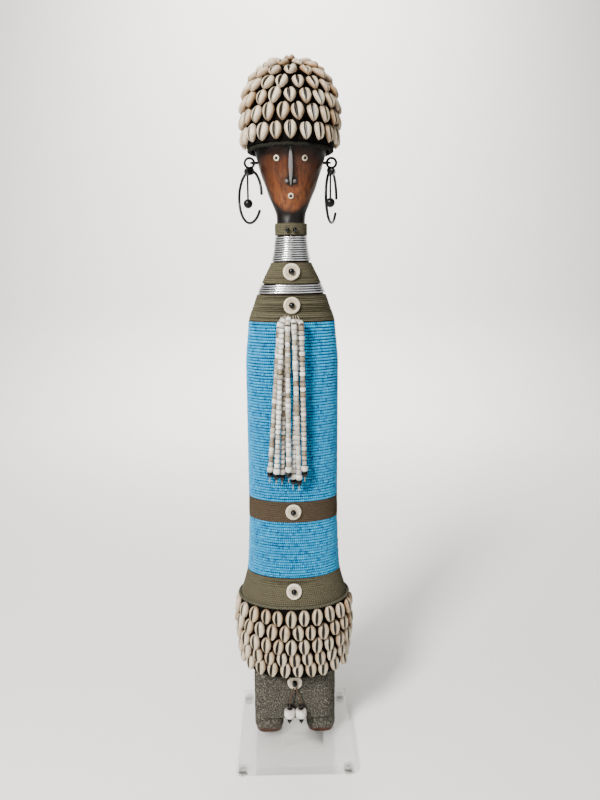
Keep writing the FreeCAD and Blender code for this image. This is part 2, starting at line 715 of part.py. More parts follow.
def cap_rows():
    """Heights of the cap's rows, equally spaced along its slope from the rim up."""
    rise = size("skull_height") + size("cap_overhang")
    low = height("brow")
    target = size("cap_shell_length") / 2
    travelled, heights = 0.0, []
    steps = 400
    last = cap_point(0, low)
    for step in range(1, steps):
        z = low + rise * step / steps
        here = cap_point(0, z)
        travelled += here.distanceToPoint(last)
        last = here
        if travelled >= target and cap_radius((z - low) / rise) > size("cap_shell_width") * 0.9:
            heights.append(z)
            target += size("cap_row_pitch")
    return heights


def make_cap(head):
    """Padded lining over the skull, the cord at its rim and the rows of cowries on it."""
    low = height("brow")
    rise = size("skull_height") + size("cap_overhang")
    shares = [0, 0.25, 0.45, 0.6, 0.72, 0.82, 0.9, 0.95, 0.985]
    edge = [Vector(cap_radius(share), 0, low + rise * share) for share in shares]
    edge.append(Vector(0, 0, low + rise))
    crown = Part.BSplineCurve()
    crown.interpolate(edge)
    floor = Part.LineSegment(Vector(0, 0, low), edge[0])
    middle = Part.LineSegment(edge[-1], Vector(0, 0, low))
    outline = Part.Face(Part.Wire([floor.toShape(), crown.toShape(), middle.toShape()]))
    dome = DOC.addObject("Part::Feature", "cap_dome")
    dome.Shape = outline.revolve(Vector(0, 0, 0), Vector(0, 0, 1), 360)
    node(cut("cap_lining", dome, head), "cap_lining")
    cord = DOC.addObject("Part::Torus", "cap_rim_cord")
    bind(cord, Radius1="(Sizes.cap_width - Sizes.cap_rim_cord) / 2", Radius2="Sizes.cap_rim_cord / 2")
    node(lift(cord, level("brow") + " - Sizes.cap_rim_cord / 2"), "cap_rim_cord")
    length = size("cap_shell_length")
    shell = make_cowrie(length, size("cap_shell_width"))
    made = []
    for row, z in enumerate(cap_rows()):
        made.append(make_shell_row(shell, cap_point, z, size("cap_shell_pitch"), row % 2 / 2,
                                   size("cap_shell_lift"), length, size("cap_shell_tuck")))
    top = shell.copy()
    top.Placement = Placement(Vector(0, 0, low + rise + size("top_shell_rise")), Rotation())
    made.append([top])
    feature("cap_shells_lower", Part.makeCompound(made[0] + made[1]))
    feature("cap_shells_upper", Part.makeCompound(made[2] + made[3]))
    feature("cap_shells_crown", Part.makeCompound(sum(made[4:], [])))


def make_belt_cord():
    """The cord that edges the belt's rim."""
    cord = size("belt_rim_cord")
    z = height("rim") + cord / 2
    half_width, half_depth, lean = section_at(z)
    out = cord / 2 / math.cos(math.radians(lean)) + size("wire_play")
    path = Part.Ellipse(Vector(0, 0, z), half_width + out, half_depth + out)
    start = Vector(half_width + out, 0, z)
    round_section = Part.Wire([Part.makeCircle(cord / 2, start, Vector(0, 1, 0))])
    feature("belt_rim_cord", Part.Wire([path.toShape()]).makePipeShell([round_section], True, False))


DISCS = [
    ("upper_chest_disc", "throat", "upper_disc_drop"),
    ("lower_chest_disc", "slope", "lower_disc_drop"),
    ("waist_disc", "waist", "waist_disc_drop"),
    ("belt_disc", "thigh", "belt_disc_drop"),
    ("apron_disc", "hem", "apron_disc_drop"),
]


def disc_place(level_name, drop):
    """Where a disc's back lies: its local Z points out of the doll's front."""
    z = height(level_name) - size(drop)
    if level_name == "hem":
        front = Vector(0, size("leg_set_back") - size("block_depth") / 2, z)
        return frame_place(front, Vector(1, 0, 0), Vector(0, 0, 1), Vector(0, -1, 0))
    return frame_place(*surface_frame(trunk_point, 0, z))


def make_discs():
    """Five bone discs down the front, and the black bead in the middle of each."""
    beads = []
    radius = size("disc_bead") / 2
    proud = math.sqrt(max(0.0, radius ** 2 - (size("disc_hole") / 2) ** 2))
    for label, level_name, drop in DISCS:
        place = disc_place(level_name, drop)
        blank = DOC.addObject("Part::Cylinder", label + "_blank")
        bind(blank, Radius="Sizes.disc_diameter / 2", Height="Sizes.disc_thickness")
        hole = DOC.addObject("Part::Cylinder", label + "_hole")
        bind(hole, Radius="Sizes.disc_hole / 2", Height="Sizes.disc_thickness")
        disc = cut(label, blank, hole)
        disc.Placement = place
        node(disc, label)
        middle = place.multVec(Vector(0, 0, size("disc_thickness") + proud))
        beads.append(Part.makeSphere(radius, middle))
    feature("disc_beads", Part.makeCompound(beads))


def face_place(x, drop):
    """Where a ring of the face lies: on the wood, its local Z along the outward normal."""
    z = height("brow") - drop
    half_width, _ = head_at(z)
    return frame_place(*surface_frame(head_point, math.asin(x / half_width), z))


def make_face():
    """White rings of the eyes and mouth, the black pins through them and the throat's beads."""
    pins = []
    half = size("eye_spacing") / 2
    rings = [("left_eye_ring", -half, "eye_drop"), ("right_eye_ring", half, "eye_drop"),
             ("mouth_ring", 0.0, "mouth_drop")]
    for label, x, drop in rings:
        place = face_place(x, size(drop))
        blank = DOC.addObject("Part::Cylinder", label + "_blank")
        bind(blank, Radius="Sizes.eye_diameter / 2", Height="Sizes.eye_thickness")
        hole = DOC.addObject("Part::Cylinder", label + "_hole")
        bind(hole, Radius="Sizes.pin_diameter / 2", Height="Sizes.eye_thickness")
        ring = cut(label, blank, hole)
        ring.Placement = place
        node(ring, label)
        pin = Part.makeCylinder(size("pin_diameter") / 2, size("eye_thickness") + 0.6)
        pin.Placement = place
        pins.append(pin)
    feature("face_pins", Part.makeCompound(pins))
    beads = []
    for sign in SIDES.values():
        z = height("collar") - size("collar_height") * 0.6
        here, across, _, outwards = surface_frame(trunk_point, sign * 0.2, z)
        beads.append(Part.makeSphere(size("throat_bead") / 2, here + outwards * size("throat_bead") / 2))
    feature("throat_beads", Part.makeCompound(beads))


def pipe(path, diameter, start, direction):
    """A round bar along a wire that starts at a point in a direction."""
    round_section = Part.Wire([Part.makeCircle(diameter / 2, start, direction)])
    return path.makePipeShell([round_section], True, False)


def ear_pivot(sign):
    """The middle of the staple's eye on one side of the head."""
    z = height("brow") - size("ear_drop")
    return Vector(sign * (head_at(z)[0] + size("ear_out")), 0, z)


def knot_point(sign):
    """The middle of the knot under one ear ring, where the hoop runs through."""
    hoop_room = size("hoop_wire") / 2 + size("hoop_clearance")
    drop = size("ear_ring_radius") + size("ear_wire") / 2 + hoop_room + 0.1
    return ear_pivot(sign) + Vector(sign * size("ear_ring_radius"), 0, -drop)


def hoop_axis(side):
    """The line that a hoop swings about: level, along the hoop's top, positive swings outwards."""
    turn = math.radians(size(side + "_hoop_turn"))
    return Vector(-math.cos(turn), -SIDES[side] * math.sin(turn), 0)


def make_staples():
    """A bent wire driven into each side of the head, with its eye standing out level."""
    staples = []
    for sign in SIDES.values():
        pivot = ear_pivot(sign)
        reach = size("staple_gap") + size("staple_wire") / 2
        inside = Vector(sign * (size("ear_out") + 4.0), 0, 0)
        front, back = Vector(0, -reach, 0), Vector(0, reach, 0)
        bend = Part.Arc(pivot + front, pivot + Vector(sign * reach, 0, 0), pivot + back)
        legs = [Part.LineSegment(pivot + front - inside, pivot + front), bend,
                Part.LineSegment(pivot + back, pivot + back - inside)]
        path = Part.Wire([leg.toShape() for leg in legs])
        staples.append(pipe(path, size("staple_wire"), pivot + front - inside, Vector(1, 0, 0)))
    return feature("ear_staples", Part.makeCompound(staples))


def make_earring(side):
    """Ear ring with its knot, the open hoop and the pendant of one side."""
    sign = SIDES[side]
    pivot, knot, axis = ear_pivot(sign), knot_point(sign), hoop_axis(side)
    ring_middle = pivot + Vector(sign * size("ear_ring_radius"), 0, 0)
    ring = Part.makeTorus(size("ear_ring_radius"), size("ear_wire") / 2, ring_middle, Vector(0, 1, 0))
    length = size("knot_length")
    sleeve = Part.makeCylinder(size("knot_diameter") / 2, length, knot - axis * (length / 2), axis)
    room = size("hoop_wire") / 2 + size("hoop_clearance")
    bore = Part.makeCylinder(room, length + 2, knot - axis * (length / 2 + 1), axis)
    feature(side + "_ear_ring", ring.fuse(sleeve).cut(bore))
    radius = size("hoop_radius")
    gap, gap_middle = size("hoop_gap"), -size("hoop_gap_drop")
    flat = Part.makeTorus(radius, size("hoop_wire") / 2, Vector(0, 0, 0), Vector(0, 0, 1), -180, 180, 360 - gap)
    flat.rotate(Vector(0, 0, 0), Vector(0, 0, 1), gap_middle + gap / 2)
    inner, up = axis * -1, Vector(0, 0, 1)
    place = frame_place(knot - up * radius, inner, up, inner.cross(up))
    feature(side + "_hoop", flat, place)
    eye_radius = (size("hoop_wire") + size("eye_wire")) / 2 + size("eye_clearance")
    hang = knot + axis * size("pendant_side")
    eye = Part.makeTorus(eye_radius, size("eye_wire") / 2, hang, axis)
    stem_length = size("pendant_drop") - eye_radius - size("pendant_ball") / 2
    stem = Part.makeCylinder(size("stem_wire") / 2, stem_length, hang - up * eye_radius, Vector(0, 0, -1))
    feature(side + "_pendant_stem", eye.fuse(stem))
    ball = Part.makeSphere(size("pendant_ball") / 2, hang - up * size("pendant_drop"))
    feature(side + "_pendant_ball", ball.cut(stem))


def rounded_route(points, label):
    """Straight runs joined by tangent arcs; prints every arc's radius."""
    places = [Vector(*point) for point in points]
    edges, start = [], places[0]
    for before, corner, after in zip(places, places[1:], places[2:]):
        inward, onward = (before - corner).normalize(), (after - corner).normalize()
        turn = math.pi - inward.getAngle(onward)
        shorter = min(before.distanceToPoint(corner), corner.distanceToPoint(after))
        radius = 0.45 * shorter / math.tan(turn / 2)
        tangent = 0.45 * shorter
        bisector = (inward + onward).normalize()
        middle = corner + bisector * (radius / math.cos(turn / 2) - radius)
        first, last = corner + inward * tangent, corner + onward * tangent
        edges.append(Part.LineSegment(start, first).toShape())
        edges.append(Part.Arc(first, middle, last).toShape())
        print("%s: arc radius %.1f mm, turn %.1f degrees" % (label, radius, math.degrees(turn)))
        start = last
    edges.append(Part.LineSegment(start, places[-1]).toShape())
    return Part.Wire(edges)


def make_cord(label, points, diameter):
    """One free cord, a plain tube along its route."""
    path = rounded_route(points, label)
    start, first = Vector(*points[0]), Vector(*points[1])
    tube = pipe(path, diameter, start, first - start)
    expected = math.pi * diameter ** 2 / 4 * path.Length
    print("%s: length %.1f mm, volume %.2f of %.2f mm3" % (label, path.Length, tube.Volume, expected))
    feature(label, tube)


# Fringe strands: route from under the lower chest disc to the strand's tip, by hand, and how the
# strand ends. Four strands lie in front of the other three.
STRANDS = [
    ([(-7.2, -25.7, 488.0), (-12.0, -29.9, 480.0), (-24.0, -29.9, 320.3)], "tube"),
    ([(-5.9, -25.7, 488.0), (-9.8, -35.4, 480.0), (-17.2, -35.4, 319.8)], "round"),
    ([(-3.9, -25.7, 488.0), (-6.4, -29.9, 480.0), (-11.3, -29.9, 317.5)], "round"),
    ([(-2.6, -25.7, 488.0), (-4.3, -35.4, 480.0), (-4.5, -35.4, 321.5)], "tube"),
    ([(3.2, -25.7, 488.0), (5.4, -29.9, 480.0), (-0.3, -29.9, 312.5)], "round"),
    ([(1.2, -25.7, 488.0), (1.9, -35.4, 480.0), (6.1, -35.4, 313.5)], "tube"),
    ([(5.5, -25.7, 488.0), (9.1, -35.4, 480.0), (11.7, -35.4, 322.5)], "round"),
]
STRAND_TAIL = 6.0

# Tassel thongs: route from the apron disc's bead to the knot under the last bead, by hand.
TASSELS = {
    "left": [(-1.3, -21.6, 76.6), (-5.6, -23.9, 62.0), (-6.3, -25.0, 34.5)],
    "right": [(1.3, -21.6, 76.6), (6.3, -23.9, 62.0), (7.0, -25.0, 34.5)],
}


def bead_on(middle, direction, outside, length, bore):
    """A short tube threaded on a cord."""
    start = middle - direction * (length / 2)
    tube = Part.makeCylinder(outside / 2, length, start, direction)
    return tube.cut(Part.makeCylinder(bore / 2, length, start, direction))


def ball_on(middle, direction, outside, bore):
    """A round bead threaded on a cord."""
    hole = Part.makeCylinder(bore / 2, outside * 1.2, middle - direction * (outside * 0.6), direction)
    return Part.makeSphere(outside / 2, middle).cut(hole)


def beads_on_strand(route, ending):
    """The beads of one strand on its straight run, with its end bead and black stop bead."""
    bore = size("thread_diameter") + 2 * size("bead_bore_clearance")
    start, bend, tip = [Vector(*point) for point in route]
    direction = (tip - bend).normalize()
    run = bend.distanceToPoint(tip)
    shorter = min(start.distanceToPoint(bend), run)
    stop = size("fringe_stop_bead")
    reach = run - STRAND_TAIL - stop
    beads = [ball_on(bend + direction * (reach + stop / 2), direction, stop, bore)]
    if ending == "round":
        last = size("fringe_end_bead")
        reach -= last
        beads.append(ball_on(bend + direction * (reach + last / 2), direction, last, bore))
    pitch = size("fringe_bead_length") + 0.1
    count = int((reach - 0.45 * shorter) / pitch)
    for place in range(count):
        middle = bend + direction * (reach - (place + 0.5) * pitch)
        beads.append(bead_on(middle, direction, size("fringe_bead"), size("fringe_bead_length"), bore))
    return beads


def make_fringe():
    """Seven threads of beads that hang from the lower chest disc."""
    beads = []
    for number, (route, ending) in enumerate(STRANDS, start=1):
        make_cord("fringe_cord_%d" % number, route, size("thread_diameter"))
        beads += beads_on_strand(route, ending)
    feature("fringe_beads", Part.makeCompound(beads))


def make_tassels():
    """Two short thongs from the apron disc, each with a white bead between two black ones."""
    bore = size("tassel_thong") + 2 * size("bead_bore_clearance")
    stop, large = size("tassel_stop_bead"), size("tassel_bead")
    for side, route in TASSELS.items():
        make_cord(side + "_tassel_cord", route, size("tassel_thong"))
        bend, tip = Vector(*route[1]), Vector(*route[2])
        direction = (tip - bend).normalize()
        reach = bend.distanceToPoint(tip) - 2.0
        beads = []
        for diameter in (stop, large, stop):
            reach -= diameter / 2
            beads.append(ball_on(bend + direction * reach, direction, diameter * 0.99, bore))
            reach -= diameter / 2
        feature(side + "_tassel_beads", Part.makeCompound(beads))


def check_and_write():
    """Stop on any failed or empty shape, then write one file for each sub-part."""
    DOC.recompute()
    for thing in DOC.Objects:
        if "Invalid" in thing.State or "Error" in thing.State:
            raise RuntimeError("%s did not rebuild: %s" % (thing.Label, thing.State))
    for thing in NODES:
        if thing.Shape.isNull() or not thing.Shape.isValid() or not thing.Shape.Solids:
            raise RuntimeError("%s has no valid solid" % thing.Label)
    os.makedirs("parts", exist_ok=True)
    for thing in NODES:
        thing.Shape.exportStep(os.path.join("parts", thing.Label + ".step"))
        print("%s: %d solids, %.0f mm3" % (thing.Label, len(thing.Shape.Solids), thing.Shape.Volume))


def main():
    """Build every sub-part from the ground up and write the files."""
    screws = make_stand()
    leg_wood = make_legs()
    make_core(screws, make_staples(), leg_wood)
    DOC.recompute()
    make_bands()
    make_wire_coil("lower_neck_rings", "slope", "chest")
    make_wire_coil("upper_neck_rings", "throat", "neck")
    make_skirt_shells()
    make_belt_cord()
    make_cap(DOC.getObject("head"))
    make_discs()
    make_face()
    for side in SIDES:
        make_earring(side)
    make_fringe()
    make_tassels()
    check_and_write()


main()
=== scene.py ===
"""Looks of the beaded doll: beads, twine, shells, wood, wire and acrylic round the CAD frame.

Metres, +Z up, the doll faces -Y. Every new surface is a grid of two parameters computed with numpy;
places and sizes come from the frame's own nodes.
"""
import json
import logging
import math
from dataclasses import dataclass, field
from enum import Enum
from functools import reduce

import bpy
import numpy as np
from mathutils import Matrix, Vector

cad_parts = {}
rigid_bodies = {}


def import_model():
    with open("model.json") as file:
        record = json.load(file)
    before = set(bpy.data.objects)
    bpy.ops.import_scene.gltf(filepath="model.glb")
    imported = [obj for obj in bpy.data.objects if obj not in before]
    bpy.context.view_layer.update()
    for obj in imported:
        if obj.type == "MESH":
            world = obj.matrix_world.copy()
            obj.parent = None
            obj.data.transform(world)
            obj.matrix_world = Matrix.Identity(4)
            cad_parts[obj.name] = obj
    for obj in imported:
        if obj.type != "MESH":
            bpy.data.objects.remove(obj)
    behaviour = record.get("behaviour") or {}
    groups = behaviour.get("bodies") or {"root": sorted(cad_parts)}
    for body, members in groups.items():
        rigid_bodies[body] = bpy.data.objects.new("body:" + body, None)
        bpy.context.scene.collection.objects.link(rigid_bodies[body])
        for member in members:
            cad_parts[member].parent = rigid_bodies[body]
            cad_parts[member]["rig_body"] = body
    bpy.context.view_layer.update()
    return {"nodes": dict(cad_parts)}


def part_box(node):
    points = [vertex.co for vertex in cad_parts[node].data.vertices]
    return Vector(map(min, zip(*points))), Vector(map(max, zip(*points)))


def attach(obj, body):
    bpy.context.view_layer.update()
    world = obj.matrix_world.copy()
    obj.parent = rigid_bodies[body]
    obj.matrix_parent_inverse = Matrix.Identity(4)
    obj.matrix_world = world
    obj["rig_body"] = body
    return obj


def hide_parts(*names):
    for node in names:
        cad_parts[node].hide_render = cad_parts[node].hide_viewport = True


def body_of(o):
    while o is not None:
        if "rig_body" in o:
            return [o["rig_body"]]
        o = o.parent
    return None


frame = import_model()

logging.basicConfig(level=logging.INFO, format="%(levelname)s %(message)s")
LOG = logging.getLogger("doll")
MM = 0.001
TAU = 2 * math.pi


class Side(Enum):
    """The doll's two sides, by the sign of X."""

    LEFT = -1
    RIGHT = 1

    @property
    def word(self) -> str:
        """The side's name as the nodes spell it."""
        return self.name.lower()


# ---------------------------------------------------------------- surfaces

@dataclass
class Shape:
    """A mesh held as arrays: points, four- and three-sided faces, face-corner UV and attributes.

    Attributes are one float for each point.
    """

    points: np.ndarray
    quads: np.ndarray
    tris: np.ndarray = field(default_factory=lambda: np.zeros((0, 3), int))
    quad_uv: np.ndarray | None = None
    values: dict[str, np.ndarray] = field(default_factory=dict)

    @classmethod
    def grid(cls, points: np.ndarray, wrap_i: bool = True, wrap_j: bool = False,
             uv: np.ndarray | None = None, **values: np.ndarray) -> "Shape":
        """Four-sided faces over a grid of points; direction i crossed with j points outwards.

        Args:
            points: array of shape (n, m, 3).
            wrap_i: whether the last row joins the first one.
            wrap_j: whether the last column joins the first one.
            uv: array (n + 1, m + 1, 2) of pattern coordinates, counted past the joins.
            values: arrays (n, m) that become point attributes.

        Returns:
            The shape.
        """
        n, m = points.shape[:2]
        i = np.arange(n if wrap_i else n - 1)
        j = np.arange(m if wrap_j else m - 1)
        i, j = np.meshgrid(i, j, indexing="ij")
        i2, j2 = (i + 1) % n, (j + 1) % m
        quads = np.stack([i * m + j, i2 * m + j, i2 * m + j2, i * m + j2], -1).reshape(-1, 4)
        quad_uv = None
        if uv is not None:
            corners = [uv[i, j], uv[i + 1, j], uv[i + 1, j + 1], uv[i, j + 1]]
            quad_uv = np.stack(corners, 2).reshape(-1, 4, 2)
        flat = {name: np.asarray(value, float).reshape(-1) for name, value in values.items()}
        return cls(points.reshape(-1, 3), quads, quad_uv=quad_uv, values=flat)

    @classmethod
    def capped(cls, points: np.ndarray, **values: np.ndarray) -> "Shape":
        """A closed surface: rows run round, and the first and last columns are single points.

        Args:
            points: array (n, m, 3) whose column 0 and column m - 1 each hold one repeated point.
            values: arrays (n, m) that become point attributes.

        Returns:
            The shape, with three-sided faces at both ends.
        """
        n, m = points.shape[:2]
        inner = points[:, 1:-1].reshape(-1, 3)
        verts = np.vstack([inner, points[0, 0], points[0, -1]])
        first, last = len(inner), len(inner) + 1
        width = m - 2
        i, j = np.meshgrid(np.arange(n), np.arange(width - 1), indexing="ij")
        i2 = (i + 1) % n
        quads = np.stack([i * width + j, i2 * width + j, i2 * width + j + 1, i * width + j + 1], -1)
        row = np.arange(n)
        nxt = (row + 1) % n
        low = np.stack([np.full(n, first), nxt * width, row * width], -1)
        high = np.stack([np.full(n, last), row * width + width - 1, nxt * width + width - 1], -1)
        flat = {}
        for name, value in values.items():
            value = np.broadcast_to(np.asarray(value, float), (n, m))
            flat[name] = np.concatenate([value[:, 1:-1].reshape(-1), [value[0, 0], value[0, -1]]])
        return cls(verts, quads.reshape(-1, 4), np.vstack([low, high]), values=flat)

    def copies(self, origins: np.ndarray, frames: np.ndarray, **values: np.ndarray) -> "Shape":
        """The same shape at many places.

        Args:
            origins: array (k, 3).
            frames: array (k, 3, 3) whose columns are each copy's local axes, with any scale.
            values: arrays (k,) of one attribute value for each copy.

        Returns:
            One shape that holds all the copies.
        """
        count, size = len(origins), len(self.points)
        points = np.einsum("kab,pb->kpa", frames, self.points) + origins[:, None, :]
        step = (np.arange(count) * size)[:, None, None]
        quads = (self.quads[None] + step).reshape(-1, 4)
        tris = (self.tris[None] + step).reshape(-1, 3)
        merged = {name: np.tile(value, count) for name, value in self.values.items()}
        merged.update({name: np.repeat(value, size) for name, value in values.items()})
        return Shape(points.reshape(-1, 3), quads, tris, values=merged)

    def joined(self, other: "Shape") -> "Shape":
        """This shape and another one as one; attributes that one of them lacks are 0 there."""
        shift = len(self.points)
        names = set(self.values) | set(other.values)
        values = {}
        for name in sorted(names):
            mine = self.values.get(name, np.zeros(shift))
            theirs = other.values.get(name, np.zeros(len(other.points)))
            values[name] = np.concatenate([mine, theirs])
        return Shape(np.vstack([self.points, other.points]), np.vstack([self.quads, other.quads + shift]),
                     np.vstack([self.tris, other.tris + shift]), values=values)

    @staticmethod
    def gathered(shapes: list["Shape"]) -> "Shape":
        """Several shapes as one."""
        return reduce(Shape.joined, shapes)

    def make(self, name: str, material: bpy.types.Material) -> bpy.types.Object:
        """Put the arrays into a mesh object at the origin and give it a material."""
        mesh = bpy.data.meshes.new(name)
        loops = np.concatenate([self.quads.reshape(-1), self.tris.reshape(-1)]).astype(np.int32)
        sizes = np.concatenate([np.full(len(self.quads), 4), np.full(len(self.tris), 3)])
        starts = np.concatenate([[0], np.cumsum(sizes)[:-1]]).astype(np.int32)
        mesh.vertices.add(len(self.points))
        mesh.vertices.foreach_set("co", self.points.astype(np.float32).ravel())
        mesh.loops.add(len(loops))
        mesh.loops.foreach_set("vertex_index", loops)
        mesh.polygons.add(len(sizes))
        mesh.polygons.foreach_set("loop_start", starts)
        mesh.update(calc_edges=True)
        mesh.polygons.foreach_set("use_smooth", np.full(len(sizes), True))
        if self.quad_uv is not None:
            layer = mesh.uv_layers.new(name="pattern")
            both = np.concatenate([self.quad_uv.reshape(-1, 2), np.zeros((len(self.tris) * 3, 2))])
            layer.data.foreach_set("uv", both.astype(np.float32).ravel())
        for key, value in self.values.items():
            mesh.attributes.new(key, "FLOAT", "POINT").data.foreach_set("value", value.astype(np.float32))
        mesh.materials.append(material)
        mesh.validate()
        made = bpy.data.objects.new(name, mesh)
        bpy.context.scene.collection.objects.link(made)
        LOG.info("%s: %d points, %d faces", name, len(self.points), len(sizes))
        return made


def unit(vectors: np.ndarray) -> np.ndarray:
    """Vectors scaled to length 1 along the last axis."""
    return vectors / np.maximum(np.linalg.norm(vectors, axis=-1, keepdims=True), 1e-12)


def axes_along(path: np.ndarray, closed: bool, reference: np.ndarray) -> tuple[np.ndarray, np.ndarray]:
    """Two unit directions square to a path, the first one close to a reference direction.

    Args:
        path: array (n, 3).
        closed: whether the path's end joins its start.
        reference: one direction that is never along the path.

    Returns:
        The side directions and the directions square to both.
    """
    if closed:
        along = np.roll(path, -1, 0) - np.roll(path, 1, 0)
    else:
        along = np.gradient(path, axis=0)
    along = unit(along)
    side = unit(reference - along * (along @ reference)[:, None])
    return side, np.cross(along, side)


def tube(path: np.ndarray, radius: float, sides: int) -> Shape:
    """A round bar with domed ends: at each path point a circle in the plane square to the path.

    Args:
        path: array (n, 3), nowhere upright.
        radius: the bar's radius in metres.
        sides: points round the bar.

    Returns:
        The bar.
    """
    ends = unit(path[[0, -1]] - path[[1, -2]]) * radius
    tips = [path[0] + ends[0] * step for step in (1.0, 0.7)]
    tails = [path[-1] + ends[1] * step for step in (0.7, 1.0)]
    radii = np.concatenate([[0, radius * 0.7], np.full(len(path), radius), [radius * 0.7, 0]])
    path = np.vstack([tips, path, tails])
    side, other = axes_along(path, False, np.array([0.0, 0.0, 1.0]))
    turn = np.linspace(0, TAU, sides, endpoint=False)
    ring = np.cos(turn)[:, None, None] * side + np.sin(turn)[:, None, None] * other
    return Shape.capped(path[None] + ring * radii[None, :, None])


def loop_pattern(path: np.ndarray, sides: int) -> np.ndarray:
    """Pattern coordinates of a closed bar: turns round it and metres along it."""
    nodes = np.vstack([path, path[:1]])
    run = np.concatenate([[0], np.cumsum(np.linalg.norm(np.diff(nodes, axis=0), axis=1))])
    round_it, along = np.meshgrid(np.arange(sides + 1) / sides, run, indexing="ij")
    return np.stack([round_it, along], -1)


def ball(radius: float, rings: int = 10, sides: int = 16, squash: float = 1.0) -> Shape:
    """A round bead: radius times sine and cosine of two angles, flattened along Z by squash."""
    down = np.linspace(0, math.pi, rings + 1)
    turn = np.linspace(0, TAU, sides, endpoint=False)
    turn, down = np.meshgrid(turn, down, indexing="ij")
    points = np.stack([np.sin(down) * np.cos(turn), np.sin(down) * np.sin(turn), -np.cos(down) * squash], -1)
    return Shape.capped(points * radius)


def ring_bead(outside: float, inside: float, length: float, sides: int, corner: float = 0.3) -> Shape:
    """A bead with a hole along Z: a rounded section carried round the hole.

    The section is a rectangle with softened corners, from the hole's wall to the outside.
    """
    middle, half = (outside + inside) / 2, (outside - inside) / 2
    soft = corner * min(half, length / 2)
    radial = np.array([-half, -half, -half + soft, half - soft, half, half, half - soft, -half + soft])
    axial = np.array([-1, 1, 1, 1, 1, -1, -1, -1]) * (length / 2)
    axial[[0, 5]] += soft
    axial[[1, 4]] -= soft
    turn = np.linspace(0, TAU, sides, endpoint=False)
    spread = middle + radial
    points = np.stack([np.cos(turn)[:, None] * spread, np.sin(turn)[:, None] * spread,
                       np.broadcast_to(axial, (sides, 8))], -1)
    # Painted shade: the end faces and the hole's wall, where neighbouring beads meet, are marked for darkening.
    ends = np.broadcast_to(np.array([1.0, 1.0, 0.9, 0.55, 0, 0, 0.55, 0.9]), (sides, 8))
    return Shape.grid(points[:, ::-1], True, True, groove=ends[:, ::-1])


def frames_along(along: np.ndarray, reference: np.ndarray) -> np.ndarray:
    """Square axes, as matrix columns, whose third one is a given direction."""
    along = unit(along)
    side = unit(reference - along * np.sum(along * reference, -1, keepdims=True))
    return np.stack([side, np.cross(along, side), along], -1)


# ---------------------------------------------------------------- shader tools

class Tree:
    """Short words for adding nodes to a material or a group, left to right."""

    def __init__(self, tree: bpy.types.NodeTree) -> None:
        """Work on one node tree."""
        self.tree = tree
        self.column = 0

    def add(self, kind: str, **settings) -> bpy.types.Node:
        """Add a node; settings that name a socket set its value or link it.

        Args:
            kind: the node's type without its ShaderNode prefix.
            settings: node properties, or socket names with blanks as underscores.

        Returns:
            The node.
        """
        prefix = "" if kind.startswith("NodeGroup") else "ShaderNode"
        node = self.tree.nodes.new(prefix + kind)
        self.column += 1
        node.location = (self.column * 190, -(self.column % 4) * 130)
        for key, value in settings.items():
            if key in node.bl_rna.properties and not isinstance(value, bpy.types.NodeSocket):
                setattr(node, key, value)
            else:
                self.put(node, key, value)
        return node

    def put(self, node: bpy.types.Node, key: str, value) -> None:
        """Link or set one input, named with underscores, or numbered as in1, in2."""
        number = key[2:]
        socket = node.inputs[int(number)] if key.startswith("in") and number.isdigit() \
            else node.inputs[key.replace("_", " ")]
        if isinstance(value, bpy.types.NodeSocket):
            self.tree.links.new(value, socket)
        else:
            socket.default_value = value

    def math(self, operation: str, first, second=0.0, third=0.0) -> bpy.types.NodeSocket:
        """One arithmetic step."""
        return self.add("Math", operation=operation, in0=first, in1=second, in2=third).outputs[0]

    def ramp(self, factor, stops: list[tuple[float, tuple[float, float, float]]]) -> bpy.types.NodeSocket:
        """Colours along a factor; each stop is a place and a colour."""
        node = self.add("ValToRGB", Fac=factor)
        elements = node.color_ramp.elements
        while len(elements) < len(stops):
            elements.new(0.5)
        for element, (place, color) in zip(elements, stops):
            element.position = place
            element.color = (*color, 1.0)
        return node.outputs["Color"]

    def mix(self, factor, first, second) -> bpy.types.NodeSocket:
        """A blend of two colours."""
        node = self.add("Mix", data_type="RGBA")
        for index, value in ((0, factor), (6, first), (7, second)):
            if isinstance(value, bpy.types.NodeSocket):
                self.tree.links.new(value, node.inputs[index])
            elif index == 0:
                node.inputs[index].default_value = value
            else:
                node.inputs[index].default_value = (*value, 1.0)
        return node.outputs[2]

    def value(self, name: str) -> bpy.types.NodeSocket:
        """A point attribute of the mesh as a number."""
        return self.add("Attribute", attribute_name=name).outputs["Fac"]

    def place(self) -> bpy.types.NodeSocket:
        """The point's place on the object, in metres."""
        return self.add("TexCoord").outputs["Object"]

    def noise(self, vector, scale: float, detail: float = 4.0, rough: float = 0.55) -> bpy.types.NodeSocket:
        """Fractal noise from 0 to 1."""
        return self.add("TexNoise", Vector=vector, Scale=scale, Detail=detail, Roughness=rough).outputs[0]

    def scaled(self, vector, scale: tuple[float, float, float]) -> bpy.types.NodeSocket:
        """A place stretched along the axes."""
        return self.add("Mapping", Vector=vector, Scale=scale).outputs[0]

    def send(self, sink: bpy.types.Node, **sockets: bpy.types.NodeSocket) -> None:
        """Link sockets to a group's outputs, which are named with underscores."""
        for key, socket in sockets.items():
            self.tree.links.new(socket, sink.inputs[key.replace("_", " ")])

    def group(self, group: bpy.types.NodeTree, **inputs) -> bpy.types.Node:
        """Place a shared effect."""
        node = self.tree.nodes.new("ShaderNodeGroup")
        self.column += 1
        node.location = (self.column * 190, 200)
        node.node_tree = group
        for key, value in inputs.items():
            self.put(node, key, value)
        return node


